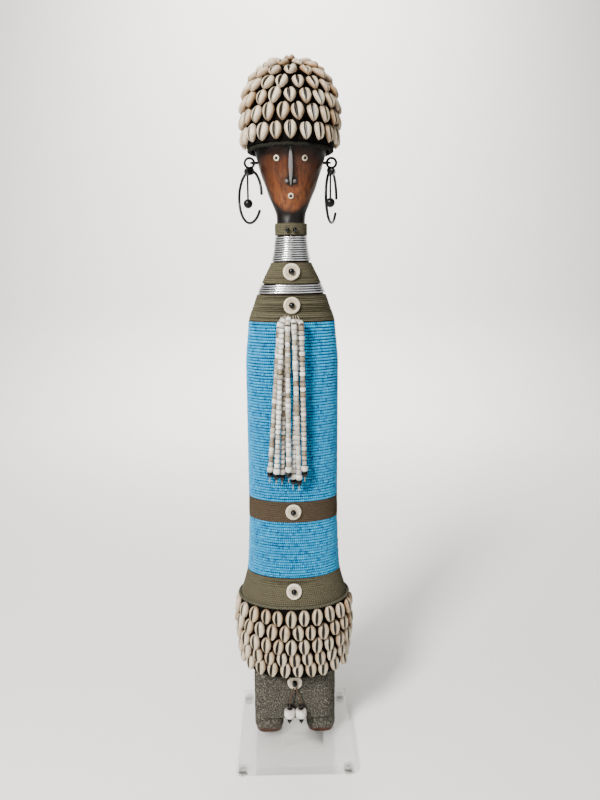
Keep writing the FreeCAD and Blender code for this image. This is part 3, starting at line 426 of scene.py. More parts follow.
def new_group(name: str, inputs: list[tuple[str, str, float]], outputs: list[tuple[str, str]]) -> tuple:
    """An empty shared effect with named sockets.

    Args:
        name: the group's name.
        inputs: each socket's name, kind and default.
        outputs: each socket's name and kind.

    Returns:
        The node tree, its tools, and its input and output nodes.
    """
    tree = bpy.data.node_groups.new(name, "ShaderNodeTree")
    for label, kind, default in inputs:
        socket = tree.interface.new_socket(label, in_out="INPUT", socket_type="NodeSocket" + kind)
        if kind == "Float":
            socket.default_value = default
    for label, kind in outputs:
        tree.interface.new_socket(label, in_out="OUTPUT", socket_type="NodeSocket" + kind)
    tools = Tree(tree)
    return tree, tools, tree.nodes.new("NodeGroupInput"), tree.nodes.new("NodeGroupOutput")


class Effects:
    """Shared effects, each built once: stains, twisted yarn, and wood grain."""

    def __init__(self) -> None:
        """Build the groups."""
        self.grime = self.build_grime()
        self.yarn = self.build_yarn()
        self.grain = self.build_grain()

    @staticmethod
    def build_grime() -> bpy.types.NodeTree:
        """Broad and fine stains: a mask from two noises, and a small roughness and height change."""
        tree, t, source, sink = new_group(
            "grime", [("Size", "Float", 60.0), ("Amount", "Float", 0.5)],
            [("Mask", "Float"), ("Height", "Float")])
        place = t.place()
        broad = t.add("TexNoise", Vector=place, Scale=source.outputs["Size"], Detail=5.0).outputs[0]
        finer = t.math("MULTIPLY", source.outputs["Size"], 6.0)
        fine = t.add("TexNoise", Vector=place, Scale=finer, Detail=3.0).outputs[0]
        both = t.math("MULTIPLY_ADD", broad, 0.65, t.math("MULTIPLY", fine, 0.35))
        reach = t.math("SUBTRACT", 0.72, t.math("MULTIPLY", source.outputs["Amount"], 0.3))
        mask = t.add("MapRange", Value=both, in1=reach, in2=0.74).outputs[0]
        t.send(sink, Mask=mask, Height=fine)
        return tree

    @staticmethod
    def build_yarn() -> bpy.types.NodeTree:
        """Twisted yarn: slanting plies from the pattern coordinates, with loose fibres over them.

        Pattern u is metres along the yarn and v is turns across it; the plies run along both.
        """
        tree, t, source, sink = new_group(
            "yarn", [("Ply length", "Float", 0.0016), ("Fibre", "Float", 0.5)],
            [("Ply", "Float"), ("Fibre mask", "Float"), ("Height", "Float")])
        pattern = t.add("UVMap", uv_map="pattern").outputs[0]
        split = t.add("SeparateXYZ", Vector=pattern)
        count = t.math("DIVIDE", split.outputs[0], source.outputs["Ply length"])
        slanted = t.math("ADD", count, split.outputs[1])
        wave = t.math("SINE", t.math("MULTIPLY", slanted, TAU))
        ply = t.math("MULTIPLY_ADD", wave, 0.5, 0.5)
        hairs = t.add("TexNoise", Vector=t.scaled(t.place(), (1.0, 1.0, 2.4)), Scale=1900.0, Detail=3.0)
        height = t.math("ADD", ply, t.math("MULTIPLY", hairs.outputs[0], source.outputs["Fibre"]))
        t.send(sink, Ply=ply, Fibre_mask=hairs.outputs[0], Height=height)
        return tree

    @staticmethod
    def build_grain() -> bpy.types.NodeTree:
        """Wood grain that runs up: noise stretched along Z, bent by a slower one, and pores."""
        tree, t, source, sink = new_group(
            "grain", [("Size", "Float", 1.0)],
            [("Figure", "Float"), ("Pores", "Float"), ("Height", "Float")])
        place = t.add("VectorMath", operation="SCALE", in0=t.place(), Scale=source.outputs["Size"]).outputs[0]
        bend = t.noise(place, 14.0, 2.0)
        shifted = t.add("VectorMath", operation="ADD", in0=t.scaled(place, (1, 1, 0.09)),
                        in1=t.math("MULTIPLY", bend, 0.012)).outputs[0]
        figure = t.noise(shifted, 330.0, 5.0, 0.62)
        pores = t.noise(t.scaled(place, (1, 1, 0.035)), 1300.0, 2.0, 0.5)
        mask = t.add("MapRange", Value=pores, in1=0.56, in2=0.68).outputs[0]
        height = t.math("SUBTRACT", t.math("MULTIPLY", figure, 0.35), t.math("MULTIPLY", mask, 0.7))
        t.send(sink, Figure=figure, Pores=mask, Height=height)
        return tree


@dataclass(frozen=True)
class Finish:
    """One finish: its colours and the numbers of its surface.

    Attributes are the record's slot, the base colour, a second and third colour that the pattern
    mixes in, roughness, the strength and depth of its relief, and how strongly it mirrors.
    """

    slot: str
    color: tuple[float, float, float]
    second: tuple[float, float, float]
    third: tuple[float, float, float] = (0.0, 0.0, 0.0)
    roughness: float = 0.5
    relief: float = 0.3
    depth: float = 0.0003
    specular: float = 0.3

    def begin(self, name: str) -> tuple[bpy.types.Material, Tree, bpy.types.Node]:
        """A material with its tools and its main shader, whose uniform values are set here."""
        material = bpy.data.materials.new(name)
        material.use_nodes = True
        tools = Tree(material.node_tree)
        shader = material.node_tree.nodes["Principled BSDF"]
        shader.inputs["Roughness"].default_value = self.roughness
        shader.inputs["Specular IOR Level"].default_value = self.specular
        shader.inputs["Base Color"].default_value = (*self.color, 1.0)
        material.diffuse_color = (*self.color, 1.0)
        return material, tools, shader

    def bump(self, tools: Tree, shader: bpy.types.Node, height: bpy.types.NodeSocket) -> None:
        """Feed a relief height to the shader's normal."""
        node = tools.add("Bump", Strength=self.relief, Distance=self.depth, Height=height)
        tools.tree.links.new(node.outputs["Normal"], shader.inputs["Normal"])

    def color_in(self, tools: Tree, shader: bpy.types.Node, color: bpy.types.NodeSocket) -> None:
        """Feed a colour to the shader."""
        tools.tree.links.new(color, shader.inputs["Base Color"])

    def rough_in(self, tools: Tree, shader: bpy.types.Node, mask: bpy.types.NodeSocket,
                 change: float) -> None:
        """Roughness that grows by a change where a mask is 1."""
        tools.tree.links.new(tools.math("MULTIPLY_ADD", mask, change, self.roughness),
                             shader.inputs["Roughness"])


@dataclass(frozen=True)
class TwineFinish(Finish):
    """Twisted twine: pale ply crests over darker troughs and near-black lines between the turns, both painted
    shade, with specks of lighter fibre.
    """

    ply_length: float = 0.0021
    speckle: float = 0.0

    def build(self, name: str, effects: Effects) -> bpy.types.Material:
        """Build the material."""
        material, t, shader = self.begin(name)
        yarn = t.group(effects.yarn, Ply_length=self.ply_length, Fibre=0.6)
        # Painted shade: the troughs between plies take the darker colour, the crests the lighter.
        base = t.mix(yarn.outputs["Ply"], self.second, self.color)
        flecks = t.add("MapRange", Value=yarn.outputs["Fibre mask"], in1=0.5, in2=0.72).outputs[0]
        flecked = t.mix(t.math("MULTIPLY", flecks, 0.6), base, self.third)
        felt = t.add("MapRange", Value=t.noise(t.place(), 620.0, 3.0), in1=0.50, in2=0.66).outputs[0]
        flecked = t.mix(t.math("MULTIPLY", felt, self.speckle), flecked, self.third)
        # Painted shade: the lines between the turns go near black.
        groove = t.value("groove")
        shaded = t.mix(groove, flecked, tuple(c * 0.25 for c in self.second))
        grime = t.group(effects.grime, Size=45.0, Amount=0.6)
        self.color_in(t, shader, t.mix(t.math("MULTIPLY", grime.outputs["Mask"], 0.35), shaded, self.second))
        self.bump(t, shader, yarn.outputs["Height"])
        return material


@dataclass(frozen=True)
class SeedBeadFinish(Finish):
    """Opaque glass seed beads: each bead a little lighter, darker or greener than the next."""

    def build(self, name: str, effects: Effects) -> bpy.types.Material:
        """Build the material."""
        material, t, shader = self.begin(name)
        tint = t.value("tint")
        color = t.ramp(tint, [(0.0, self.second), (0.25, self.color), (0.8, self.color), (1.0, self.third)])
        grime = t.group(effects.grime, Size=70.0, Amount=0.3)
        self.color_in(t, shader, t.mix(t.math("MULTIPLY", grime.outputs["Mask"], 0.25), color, self.second))
        self.rough_in(t, shader, grime.outputs["Mask"], 0.25)
        self.bump(t, shader, grime.outputs["Height"])
        shader.inputs["Coat Weight"].default_value = 0.10
        shader.inputs["Coat Roughness"].default_value = 0.08
        return material


@dataclass(frozen=True)
class ShellFinish(Finish):
    """Cowrie: cream lips, tan flanks and ends, painted shade inside the slit and between its fine teeth."""

    def build(self, name: str, effects: Effects) -> bpy.types.Material:
        """Build the material."""
        material, t, shader = self.begin(name)
        flank = t.mix(t.value("flank"), self.color, self.second)
        tinted = t.mix(t.math("MULTIPLY", t.value("tint"), 0.4), flank, (0.78, 0.71, 0.57))
        grime = t.group(effects.grime, Size=190.0, Amount=0.75)
        stained = t.mix(t.math("MULTIPLY", grime.outputs["Mask"], 0.7), tinted, self.second)
        # Painted shade: dark lines between the teeth on the lips.
        teeth = t.math("MULTIPLY_ADD", t.math("SINE", t.math("MULTIPLY", t.value("length"), 62.0)), 0.5, 0.5)
        toothed = t.math("MULTIPLY", t.math("MULTIPLY", teeth, t.value("lip")), 0.75)
        lipped = t.mix(toothed, stained, self.third)
        # Painted shade: the slit's floor and inner walls go near black.
        self.color_in(t, shader, t.mix(t.value("opening"), lipped, self.third))
        self.rough_in(t, shader, grime.outputs["Mask"], 0.2)
        self.bump(t, shader, t.math("SUBTRACT", grime.outputs["Height"], t.math("MULTIPLY", toothed, 1.2)))
        shader.inputs["Coat Weight"].default_value = 0.06
        shader.inputs["Coat Roughness"].default_value = 0.2
        return material


@dataclass(frozen=True)
class WoodFinish(Finish):
    """Oiled wood, scorched black round the nose and darker round the eyes, with painted shade on the head's
    sides and back, under the cap and under the chin, and a painted sheen on the face.
    """

    def build(self, name: str, effects: Effects) -> bpy.types.Material:
        """Build the material."""
        material, t, shader = self.begin(name)
        grain = t.group(effects.grain, Size=1.0)
        figure = t.add("MapRange", Value=grain.outputs["Figure"], in1=0.30, in2=0.74).outputs[0]
        wood = t.mix(figure, self.second, self.color)
        pored = t.mix(t.math("MULTIPLY", grain.outputs["Pores"], 0.6), wood, self.third)
        # Darkening: real scorching round the nose, painted shade on the sides and back, under the cap and under
        # the chin.
        burnt = t.mix(t.value("burnt"), pored, self.third)
        # Painted sheen: a lighter orange over the front of the face.
        glow = t.math("MULTIPLY", t.math("MULTIPLY", t.value("polish"), figure), 0.75)
        self.color_in(t, shader, t.mix(glow, burnt, (0.27, 0.076, 0.014)))
        self.rough_in(t, shader, t.value("burnt"), 0.12)
        self.bump(t, shader, grain.outputs["Height"])
        shader.inputs["Coat Weight"].default_value = 0.12
        shader.inputs["Coat Roughness"].default_value = 0.28
        return material


@dataclass(frozen=True)
class StainedFinish(Finish):
    """Bone, chalky beads and paper: a pale ground with brown stains, and painted shade in its hollows, at bead
    ends and round holes.
    """

    stain_size: float = 220.0
    stain: float = 0.7
    coat: float = 0.1

    def build(self, name: str, effects: Effects) -> bpy.types.Material:
        """Build the material."""
        material, t, shader = self.begin(name)
        grime = t.group(effects.grime, Size=self.stain_size, Amount=self.stain)
        tinted = t.mix(t.value("tint"), self.color, self.third)
        stained = t.mix(t.math("MULTIPLY", grime.outputs["Mask"], 0.85), tinted, self.second)
        # Painted shade where the marks are set; on the discs they also hold a real stain ring.
        self.color_in(t, shader, t.mix(t.value("groove"), stained, self.second))
        self.rough_in(t, shader, grime.outputs["Mask"], 0.2)
        self.bump(t, shader, grime.outputs["Height"])
        shader.inputs["Coat Weight"].default_value = self.coat
        return material


@dataclass(frozen=True)
class GlossFinish(Finish):
    """Black glass, coated wire and dark thong: one dark colour with faint wear and dust."""

    coat: float = 0.5

    def build(self, name: str, effects: Effects) -> bpy.types.Material:
        """Build the material."""
        material, t, shader = self.begin(name)
        grime = t.group(effects.grime, Size=260.0, Amount=0.55)
        worn = t.math("MULTIPLY", grime.outputs["Mask"], 0.6)
        self.color_in(t, shader, t.mix(worn, self.color, self.second))
        self.rough_in(t, shader, grime.outputs["Mask"], 0.25)
        self.bump(t, shader, grime.outputs["Height"])
        shader.inputs["Coat Weight"].default_value = self.coat
        shader.inputs["Coat Roughness"].default_value = 0.06
        return material


@dataclass(frozen=True)
class MetalFinish(Finish):
    """Drawn wire and zinc: bright metal with fine lines and dull patches.

    A wound wire's flanks, where it turns to its neighbours, take painted shade; the field below sets how dark.
    """

    gap: float = 0.0

    def build(self, name: str, effects: Effects) -> bpy.types.Material:
        """Build the material."""
        material, t, shader = self.begin(name)
        grime = t.group(effects.grime, Size=150.0, Amount=0.5)
        lines = t.noise(t.scaled(t.place(), (1.0, 1.0, 9.0)), 700.0, 2.0)
        dulled = t.mix(t.math("MULTIPLY", grime.outputs["Mask"], 0.5), self.color, self.second)
        # Painted shade: the flanks towards the neighbouring turns go near black.
        if self.gap:
            flank = t.add("MapRange", Value=t.value("flank"), in1=0.50, in2=0.82).outputs[0]
            dulled = t.mix(t.math("MULTIPLY", flank, self.gap), dulled, (0.004, 0.004, 0.004))
        self.color_in(t, shader, dulled)
        self.rough_in(t, shader, grime.outputs["Mask"], 0.22)
        self.bump(t, shader, lines)
        shader.inputs["Metallic"].default_value = 1.0
        return material


@dataclass(frozen=True)
class WornFinish(Finish):
    """Black with a grey painted reflection and patches of worn pink wood, where a point attribute marks them."""

    def build(self, name: str, effects: Effects) -> bpy.types.Material:
        """Build the material."""
        material, t, shader = self.begin(name)
        grime = t.group(effects.grime, Size=240.0, Amount=0.6)
        # The grey painted reflection, with patches of worn pink wood where the stains fall.
        worn = t.mix(t.math("MULTIPLY", grime.outputs["Mask"], 0.8), self.second, self.third)
        self.color_in(t, shader, t.mix(t.value("strip"), self.color, worn))
        self.rough_in(t, shader, grime.outputs["Mask"], 0.2)
        self.bump(t, shader, grime.outputs["Height"])
        shader.inputs["Coat Weight"].default_value = 0.05
        shader.inputs["Coat Roughness"].default_value = 0.15
        return material


@dataclass(frozen=True)
class ClearFinish(Finish):
    """Clear cast acrylic with faint scratches and a little dust."""

    ior: float = 1.49
    cover: float = 0.38

    def build(self, name: str, effects: Effects) -> bpy.types.Material:
        """Build the material."""
        material, t, shader = self.begin(name)
        scratches = t.noise(t.scaled(t.place(), (1.0, 7.0, 1.0)), 240.0, 2.0)
        mask = t.add("MapRange", Value=scratches, in1=0.62, in2=0.75).outputs[0]
        self.rough_in(t, shader, mask, 0.12)
        self.color_in(t, shader, t.mix(mask, self.color, self.second))
        shader.inputs["Transmission Weight"].default_value = 1.0
        shader.inputs["IOR"].default_value = self.ior
        shader.inputs["Alpha"].default_value = self.cover
        return material


# ---------------------------------------------------------------- the body's outline

def node_points(name: str) -> np.ndarray:
    """The vertices of a CAD node at rest, array (n, 3), in metres."""
    mesh = frame["nodes"][name].data
    flat = np.zeros(len(mesh.vertices) * 3, np.float32)
    mesh.vertices.foreach_get("co", flat)
    return flat.reshape(-1, 3).astype(float)


@dataclass
class Outline:
    """The wrapped body's outline: an ellipse at every height, from the rims of the bands' nodes."""

    bands: tuple[str, ...] = ("skirt_lining", "flared_belt", "lower_bead_wrap", "waist_band",
                              "upper_bead_wrap", "shoulder_twine", "chest_twine", "collar_twine")
    soften: float = 3.0 * MM
    rim_points: int = 24

    def __post_init__(self) -> None:
        """Read each band's rims and keep their half width and half depth."""
        stations = []
        for name in self.bands:
            points = node_points(name)
            levels, counts = np.unique(np.round(points[:, 2] / MM, 1), return_counts=True)
            for height in levels[counts >= self.rim_points] * MM:
                rim = points[np.abs(points[:, 2] - height) < 0.15 * MM]
                stations.append((height, np.abs(rim[:, 0]).max(), np.abs(rim[:, 1]).max()))
        throat = node_points("upper_neck_rings")
        middle = throat[:, 2].min() + 10 * MM
        ring = throat[np.abs(throat[:, 2] - middle) < 1.2 * MM]
        stations.append((middle, np.abs(ring[:, 0]).max(), np.abs(ring[:, 1]).max()))
        self.table = np.array(sorted(stations))

    def half_sizes(self, heights: np.ndarray) -> np.ndarray:
        """Half width and half depth at the heights: straight between stations, softened over them.

        Returns:
            Array (2, ...) in metres.
        """
        heights = np.asarray(heights, float)
        low, high = self.table[0, 0], self.table[-1, 0]
        sizes = []
        for column in (1, 2):
            near = [np.interp(np.clip(heights + shift * self.soften, low, high),
                              self.table[:, 0], self.table[:, column]) for shift in (-1, 0, 1)]
            sizes.append(np.mean(near, 0))
        return np.stack(sizes)

    def rings(self, heights: np.ndarray, count: int, shift: np.ndarray | float = 0.0) -> tuple:
        """Evenly spaced points round the outline at each height, with their outward directions.

        Args:
            heights: array (m,).
            count: points round the outline.
            shift: start of each ring, in spacings.

        Returns:
            Points (count, m, 3), outward directions (count, m, 3) and the ring lengths (m,).
        """
        heights = np.asarray(heights, float)
        wide, deep = self.half_sizes(heights)
        shift = np.broadcast_to(np.asarray(shift, float), heights.shape)
        fine = np.linspace(0, TAU, 721)
        angles, lengths = [], []
        for half_x, half_y, start in zip(wide, deep, shift):
            steps = np.hypot(half_x * np.diff(np.cos(fine)), half_y * np.diff(np.sin(fine)))
            run = np.concatenate([[0], np.cumsum(steps)])
            wanted = ((np.arange(count) + start) / count * run[-1]) % run[-1]
            angles.append(np.interp(wanted, run, fine))
            lengths.append(run[-1])
        angle = np.stack(angles, 1)
        points = np.stack([wide * np.cos(angle), deep * np.sin(angle),
                           np.broadcast_to(heights, angle.shape)], -1)
        outward = np.stack([np.cos(angle) / wide, np.sin(angle) / deep, np.zeros_like(angle)], -1)
        return points, unit(outward), np.array(lengths)


def shell_loop(outside: np.ndarray, outward: np.ndarray, thickness: float,
               uv: np.ndarray | None = None, **values: np.ndarray) -> Shape:
    """A closed sleeve: the outside surface and, one thickness inwards, the way back down.

    Args:
        outside: array (n, m, 3), upwards along m.
        outward: array (n, m, 3) of unit directions.
        thickness: distance to the inside surface, in metres.
        uv: pattern coordinates (n + 1, m + 1, 2) of the outside.
        values: arrays (n, m); the inside takes the values of the rim.
    """
    inside = (outside - outward * thickness)[:, ::-1][:, [0, -1]]
    points = np.concatenate([outside, inside], 1)
    extended = {}
    for name, value in values.items():
        value = np.broadcast_to(value, outside.shape[:2])
        extended[name] = np.concatenate([value, value[:, [-1, 0]]], 1)
    if uv is not None:
        uv = np.concatenate([uv[:, :-1], np.repeat(uv[:, -1:], 3, 1)], 1)
    return Shape.grid(points, True, True, uv, **extended)


def twine_surface(points: np.ndarray, outward: np.ndarray, lengths: np.ndarray, pitch: float,
                  wave: float = 0.16, loose: float = 0.12 * MM) -> tuple:
    """Relief of twine wound side by side over a sleeve.

    The turn number grows with height and by one for each time round, plus a slow wave of sines;
    across each turn the relief is a half circle, and each turn lies a little higher or lower.

    Args:
        points: sleeve (n, m, 3), upwards along m, that the twine's crests touch.
        outward: its outward directions.
        lengths: length round the sleeve at each height, (m,).
        pitch: distance between turns, in metres.
        wave: how far turns wander, in turns.
        loose: how much a turn lies above or below the next, in metres.

    Returns:
        The moved points, a mask of painted shade between the turns from 0 to 1, and pattern coordinates.
    """
    count = len(points)
    around = np.arange(count + 1) / count
    height = np.append(points[0, :, 2], points[0, -1, 2])
    rise = (height - height[0]) / pitch
    angle, level = np.meshgrid(around * TAU, rise, indexing="ij")
    wander = wave * (0.5 * np.sin(2 * angle + 0.31 * level) + 0.3 * np.sin(5 * angle - 0.47 * level)
                     + 0.2 * np.sin(9 * angle + 0.9 * level))
    phase = level + angle / TAU + wander
    across = 2 * (phase % 1.0) - 1
    profile = np.sqrt(np.maximum(1 - across ** 2, 0.0))
    lay = np.sin(np.floor(phase) * 12.9898) * loose
    drop = (profile - 1) * pitch * 0.42 + lay - loose
    moved = points + outward * drop[:-1, :-1, None]
    # Painted shade: near 1 between the turns, where the finish darkens the twine.
    groove = np.clip(1.15 - 1.6 * profile, 0, 1)[:-1, :-1]
    shift = (np.sin(np.floor(phase) * 78.233) * 43.7) % 1.0 * 5 * MM
    uv = np.stack([around[:, None] * np.append(lengths, lengths[-1])[None] + shift, phase], -1)
    return moved, groove, uv


@dataclass
class TwineWrap:
    """Twine wound round the body between two heights of one CAD node."""

    node: str
    finish: str
    pitch: float = 1.9 * MM
    count: int = 192
    samples: int = 8

    def build(self, outline: Outline, palette: "Palette") -> bpy.types.Object:
        """Build the wrap from the node's box and dress it."""
        low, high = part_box(self.node)
        rows = max(8, int((high.z - low.z) / self.pitch * self.samples))
        heights = np.linspace(low.z, high.z, rows)
        points, outward, lengths = outline.rings(heights, self.count)
        moved, groove, uv = twine_surface(points, outward, lengths, self.pitch)
        shape = shell_loop(moved, outward, 1.2 * MM, uv, groove=groove)
        return palette.dress(shape, self.node + "_wound", self.finish, self.node)


@dataclass
class LegTwine:
    """Twine wound round a leg or the block above the legs: a rounded rectangle from the node's box."""

    node: str
    corner: float
    pitch: float = 1.9 * MM
    count: int = 200
    samples: int = 7
    top_round: float = 0.0

    def section(self) -> tuple[np.ndarray, np.ndarray, float]:
        """Evenly spaced points of the rounded rectangle, their outward directions, and its length."""
        low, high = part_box(self.node)
        half = np.array([(high.x - low.x) / 2 - self.corner, (high.y - low.y) / 2 - self.corner])
        middle = np.array([(high.x + low.x) / 2, (high.y + low.y) / 2])
        turn = (np.arange(96) + 0.5) / 96 * TAU
        normal = np.stack([np.cos(turn), np.sin(turn)], -1)
        loop = middle + np.sign(normal) * half + normal * self.corner
        loop, normal = np.vstack([loop, loop[:1]]), np.vstack([normal, normal[:1]])
        run = np.concatenate([[0], np.cumsum(np.linalg.norm(np.diff(loop, axis=0), axis=1))])
        wanted = np.arange(self.count) / self.count * run[-1]
        place = np.stack([np.interp(wanted, run, loop[:, k]) for k in (0, 1)], -1)
        facing = unit(np.stack([np.interp(wanted, run, normal[:, k]) for k in (0, 1)], -1))
        return place, facing, float(run[-1])

    def build(self, palette: "Palette") -> bpy.types.Object:
        """Build the wrap and dress it."""
        low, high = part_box(self.node)
        place, facing, length = self.section()
        rows = max(8, int((high.z - low.z) / self.pitch * self.samples))
        heights = np.linspace(low.z, high.z, rows)
        shape_of = (self.count, rows, 1)
        points = np.concatenate([np.broadcast_to(place[:, None], (self.count, rows, 2)),
                                 np.broadcast_to(heights[None, :, None], shape_of)], -1)
        outward = np.concatenate([np.broadcast_to(facing[:, None], (self.count, rows, 2)),
                                  np.zeros(shape_of)], -1)
        edge = np.clip(1 - (heights - low.z) / (2.5 * MM), 0, 1) ** 2
        edge = edge + self.top_round * np.clip(1 - (high.z - heights) / (14 * MM), 0, 1) ** 2
        points = points - outward * (edge * 1.6 * MM)[None, :, None]
        moved, groove, uv = twine_surface(points, outward, np.full(rows, length), self.pitch, 0.22)
        shape = shell_loop(moved, outward, 1.0 * MM, uv, groove=groove)
        return palette.dress(shape, self.node + "_wound", "leg_twine", self.node)


@dataclass
class BeadWrap:
    """Strung seed beads wound round the body between two heights, over a near-black sleeve of painted shade.

    Rows lie side by side; a bead's axis runs along its row.
    """

    node: str
    low_share: float = 0.0
    high_share: float = 1.0
    pitch: float = 3.0 * MM
    spacing: float = 2.12 * MM
    seed: int = 3

    def bead(self) -> Shape:
        """One bead: a barrel of eight sides about its local Z."""
        radius, half = self.pitch / 2 * 1.0, self.spacing / 2 * 0.90
        turn = np.linspace(0, TAU, 8, endpoint=False)[:, None]
        spread = np.array([0, 0.62, 1.0, 0.62, 0]) * radius
        along = np.array([-0.9, -1, 0, 1, 0.9]) * half
        points = np.stack([np.cos(turn) * spread, np.sin(turn) * spread,
                           np.broadcast_to(along, (8, 5))], -1)
        return Shape.capped(points)

    def build(self, outline: Outline, palette: "Palette", number: int = 0) -> bpy.types.Object:
        """Build one share of the wrap's rows and dress it."""
        rng = np.random.default_rng(self.seed + number)
        low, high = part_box(self.node)
        total = max(1, round((high.z - low.z) / self.pitch))
        rows = np.arange(round(total * self.low_share), round(total * self.high_share))
        heights = low.z + (rows + 0.5) * (high.z - low.z) / total
        centres, fronts, levels, drift = [], [], [], rng.normal(0, 0.03 * MM, len(rows))
        for height, wander in zip(heights, drift):
            _, _, length = outline.rings(np.array([height]), 8)
            count = int(length[0] / self.spacing)
            points, outward, _ = outline.rings(np.array([height]), count, rng.random())
            wave = 0.10 * MM * np.sin(np.linspace(0, TAU, count, endpoint=False) * rng.integers(1, 4)
                                      + rng.random() * TAU) + wander
            points[:, 0, 2] += wave
            centres.append(points[:, 0])
            fronts.append(outward[:, 0])
            levels.append(np.full(count, height))
        centre, outward = np.vstack(centres), np.vstack(fronts)
        many = len(centre)
        centre = centre - outward * (self.pitch / 2 + rng.uniform(0, 0.12 * MM, many))[:, None]
        along = np.cross([0.0, 0.0, 1.0], outward) + rng.normal(0, 0.05, (many, 3))
        axes = frames_along(along, outward)
        size = rng.normal(1.0, 0.035, many).clip(0.9, 1.06)
        shape = self.bead().copies(centre, axes * size[:, None, None], tint=rng.random(many))
        name = f"{self.node}_beads" + (f"_{number}" if number else "")
        return palette.dress(shape, name, "blue_beads", self.node)

    def ground(self, outline: Outline, palette: "Palette") -> bpy.types.Object:
        """A near-black sleeve behind the beads: painted shade in the spaces between them."""
        low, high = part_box(self.node)
        points, outward, _ = outline.rings(np.linspace(low.z, high.z, 40), 96)
        shape = shell_loop(points - outward * self.pitch * 0.55, outward, 0.6 * MM)
        return palette.dress(shape, self.node + "_ground", "bead_ground", self.node)


@dataclass
class WireCoil:
    """Wire wound into touching turns; each turn's size comes from the CAD node at its height."""

    node: str
    wire: float = 2.1 * MM
    steps: int = 96

    def build(self, palette: "Palette") -> bpy.types.Object:
        """Build one continuous coil that climbs one pitch for each time round."""
        points = node_points(self.node)
        low, high = points[:, 2].min(), points[:, 2].max()
        turns = max(1, round((high - low) / (self.wire * 1.03)))
        pitch = (high - low - self.wire) / max(turns - 1, 1)
        centres = low + self.wire / 2 + np.arange(turns) * pitch
        near = [points[np.abs(points[:, 2] - z) < self.wire * 0.3] for z in centres]
        wide = np.array([np.abs(p[:, 0]).max() for p in near]) - self.wire / 2
        deep = np.array([np.abs(p[:, 1]).max() for p in near]) - self.wire / 2
        climb = np.linspace(0, turns - 1, (turns - 1) * self.steps + 1)
        height = np.interp(climb, np.arange(turns), centres)
        angle = climb * TAU + 0.9
        wobble = 0.12 * MM * np.sin(angle * 1.37)
        path = np.stack([(np.interp(climb, np.arange(turns), wide) - 0.1 * MM + wobble) * np.cos(angle),
                         (np.interp(climb, np.arange(turns), deep) - 0.1 * MM + wobble) * np.sin(angle),
                         height], -1)
        shape = tube(path, self.wire / 2 * 0.93, 12)
        # Painted shade mask: 1 on the flanks that face the neighbouring turns.
        angles = np.arctan2(shape.points[:, 1], shape.points[:, 0])
        turns_up = (shape.points[:, 2] - centres[0]) / pitch - ((angles - 0.9) % TAU) / TAU
        shape.values["flank"] = np.clip(np.abs(turns_up - np.round(turns_up)) * 2 * pitch / self.wire, 0, 1)
        return palette.dress(shape, self.node + "_coil", "wire", self.node)


@dataclass
class Cowrie:
    """One cowrie, slit side out, as cross sections along its length.

    Each section runs round from the slit's floor over the right lip, the flat back and the left
    lip; widths follow a root of one minus the place squared, wider towards the upper end.
    """

    length: float
    width: float
    height: float
    steps: int = 9

    def build(self) -> Shape:
        """Build the shell about its back's middle: X across, Y along the slit, Z outwards."""
        place = np.linspace(-1, 1, self.steps + 2)
        place = np.sign(place) * np.abs(place) ** 0.8
        half = self.width / 2 * np.maximum(1 - np.abs(place) ** 1.9, 0) ** 0.62 * (1 + 0.16 * place)
        rise = self.height * np.sqrt(np.maximum(1 - np.abs(place) ** 2.6, 0)) ** 0.8
        slit = -0.30 - 0.06 * place ** 2 + 0.08 * place
        gape = 0.13 + 0.07 * (1 - place) / 2
        across = np.stack([slit, slit + 1.55 * gape, slit + 1.55 * gape + 0.15, np.full_like(place, 0.55),
                           np.full_like(place, 0.86), np.full_like(place, 1.0), np.full_like(place, 0.8),
                           np.full_like(place, -0.8), np.full_like(place, -1.0), np.full_like(place, -0.86),
                           (slit - gape - 0.86) / 2, slit - gape - 0.10, slit - gape])
        level = np.array([0.20, 0.74, 0.97, 1.00, 0.70, 0.28, 0.0, 0.0, 0.28, 0.60, 0.74, 0.80, 0.66])
        depth = np.broadcast_to(level[:, None], across.shape).copy()
        depth[0] = 0.20 + 0.55 * np.abs(place) ** 3
        points = np.stack([across * half, np.broadcast_to(place * self.length / 2, across.shape),
                           depth * rise], -1)
        # Painted shade inside the slit: its floor and inner lips are marked for near black.
        opening = np.zeros(13)
        opening[[0, 1, 12]] = 1.0, 1.0, 0.9
        lip = np.zeros(13)
        lip[[1, 2, 11, 12]] = 1.0, 0.7, 0.7, 1.0
        flank = np.array([0, 0, 0, 0.1, 0.6, 1, 1, 1, 1, 0.6, 0.15, 0, 0])
        ends = np.clip((np.abs(place) - 0.62) / 0.38, 0, 1)
        closed = 1 - ends ** 2
        return Shape.capped(points, opening=opening[:, None] * closed, lip=lip[:, None] * closed,
                            flank=np.maximum(flank[:, None], ends[None] * 0.9),
                            length=np.broadcast_to(place, across.shape))


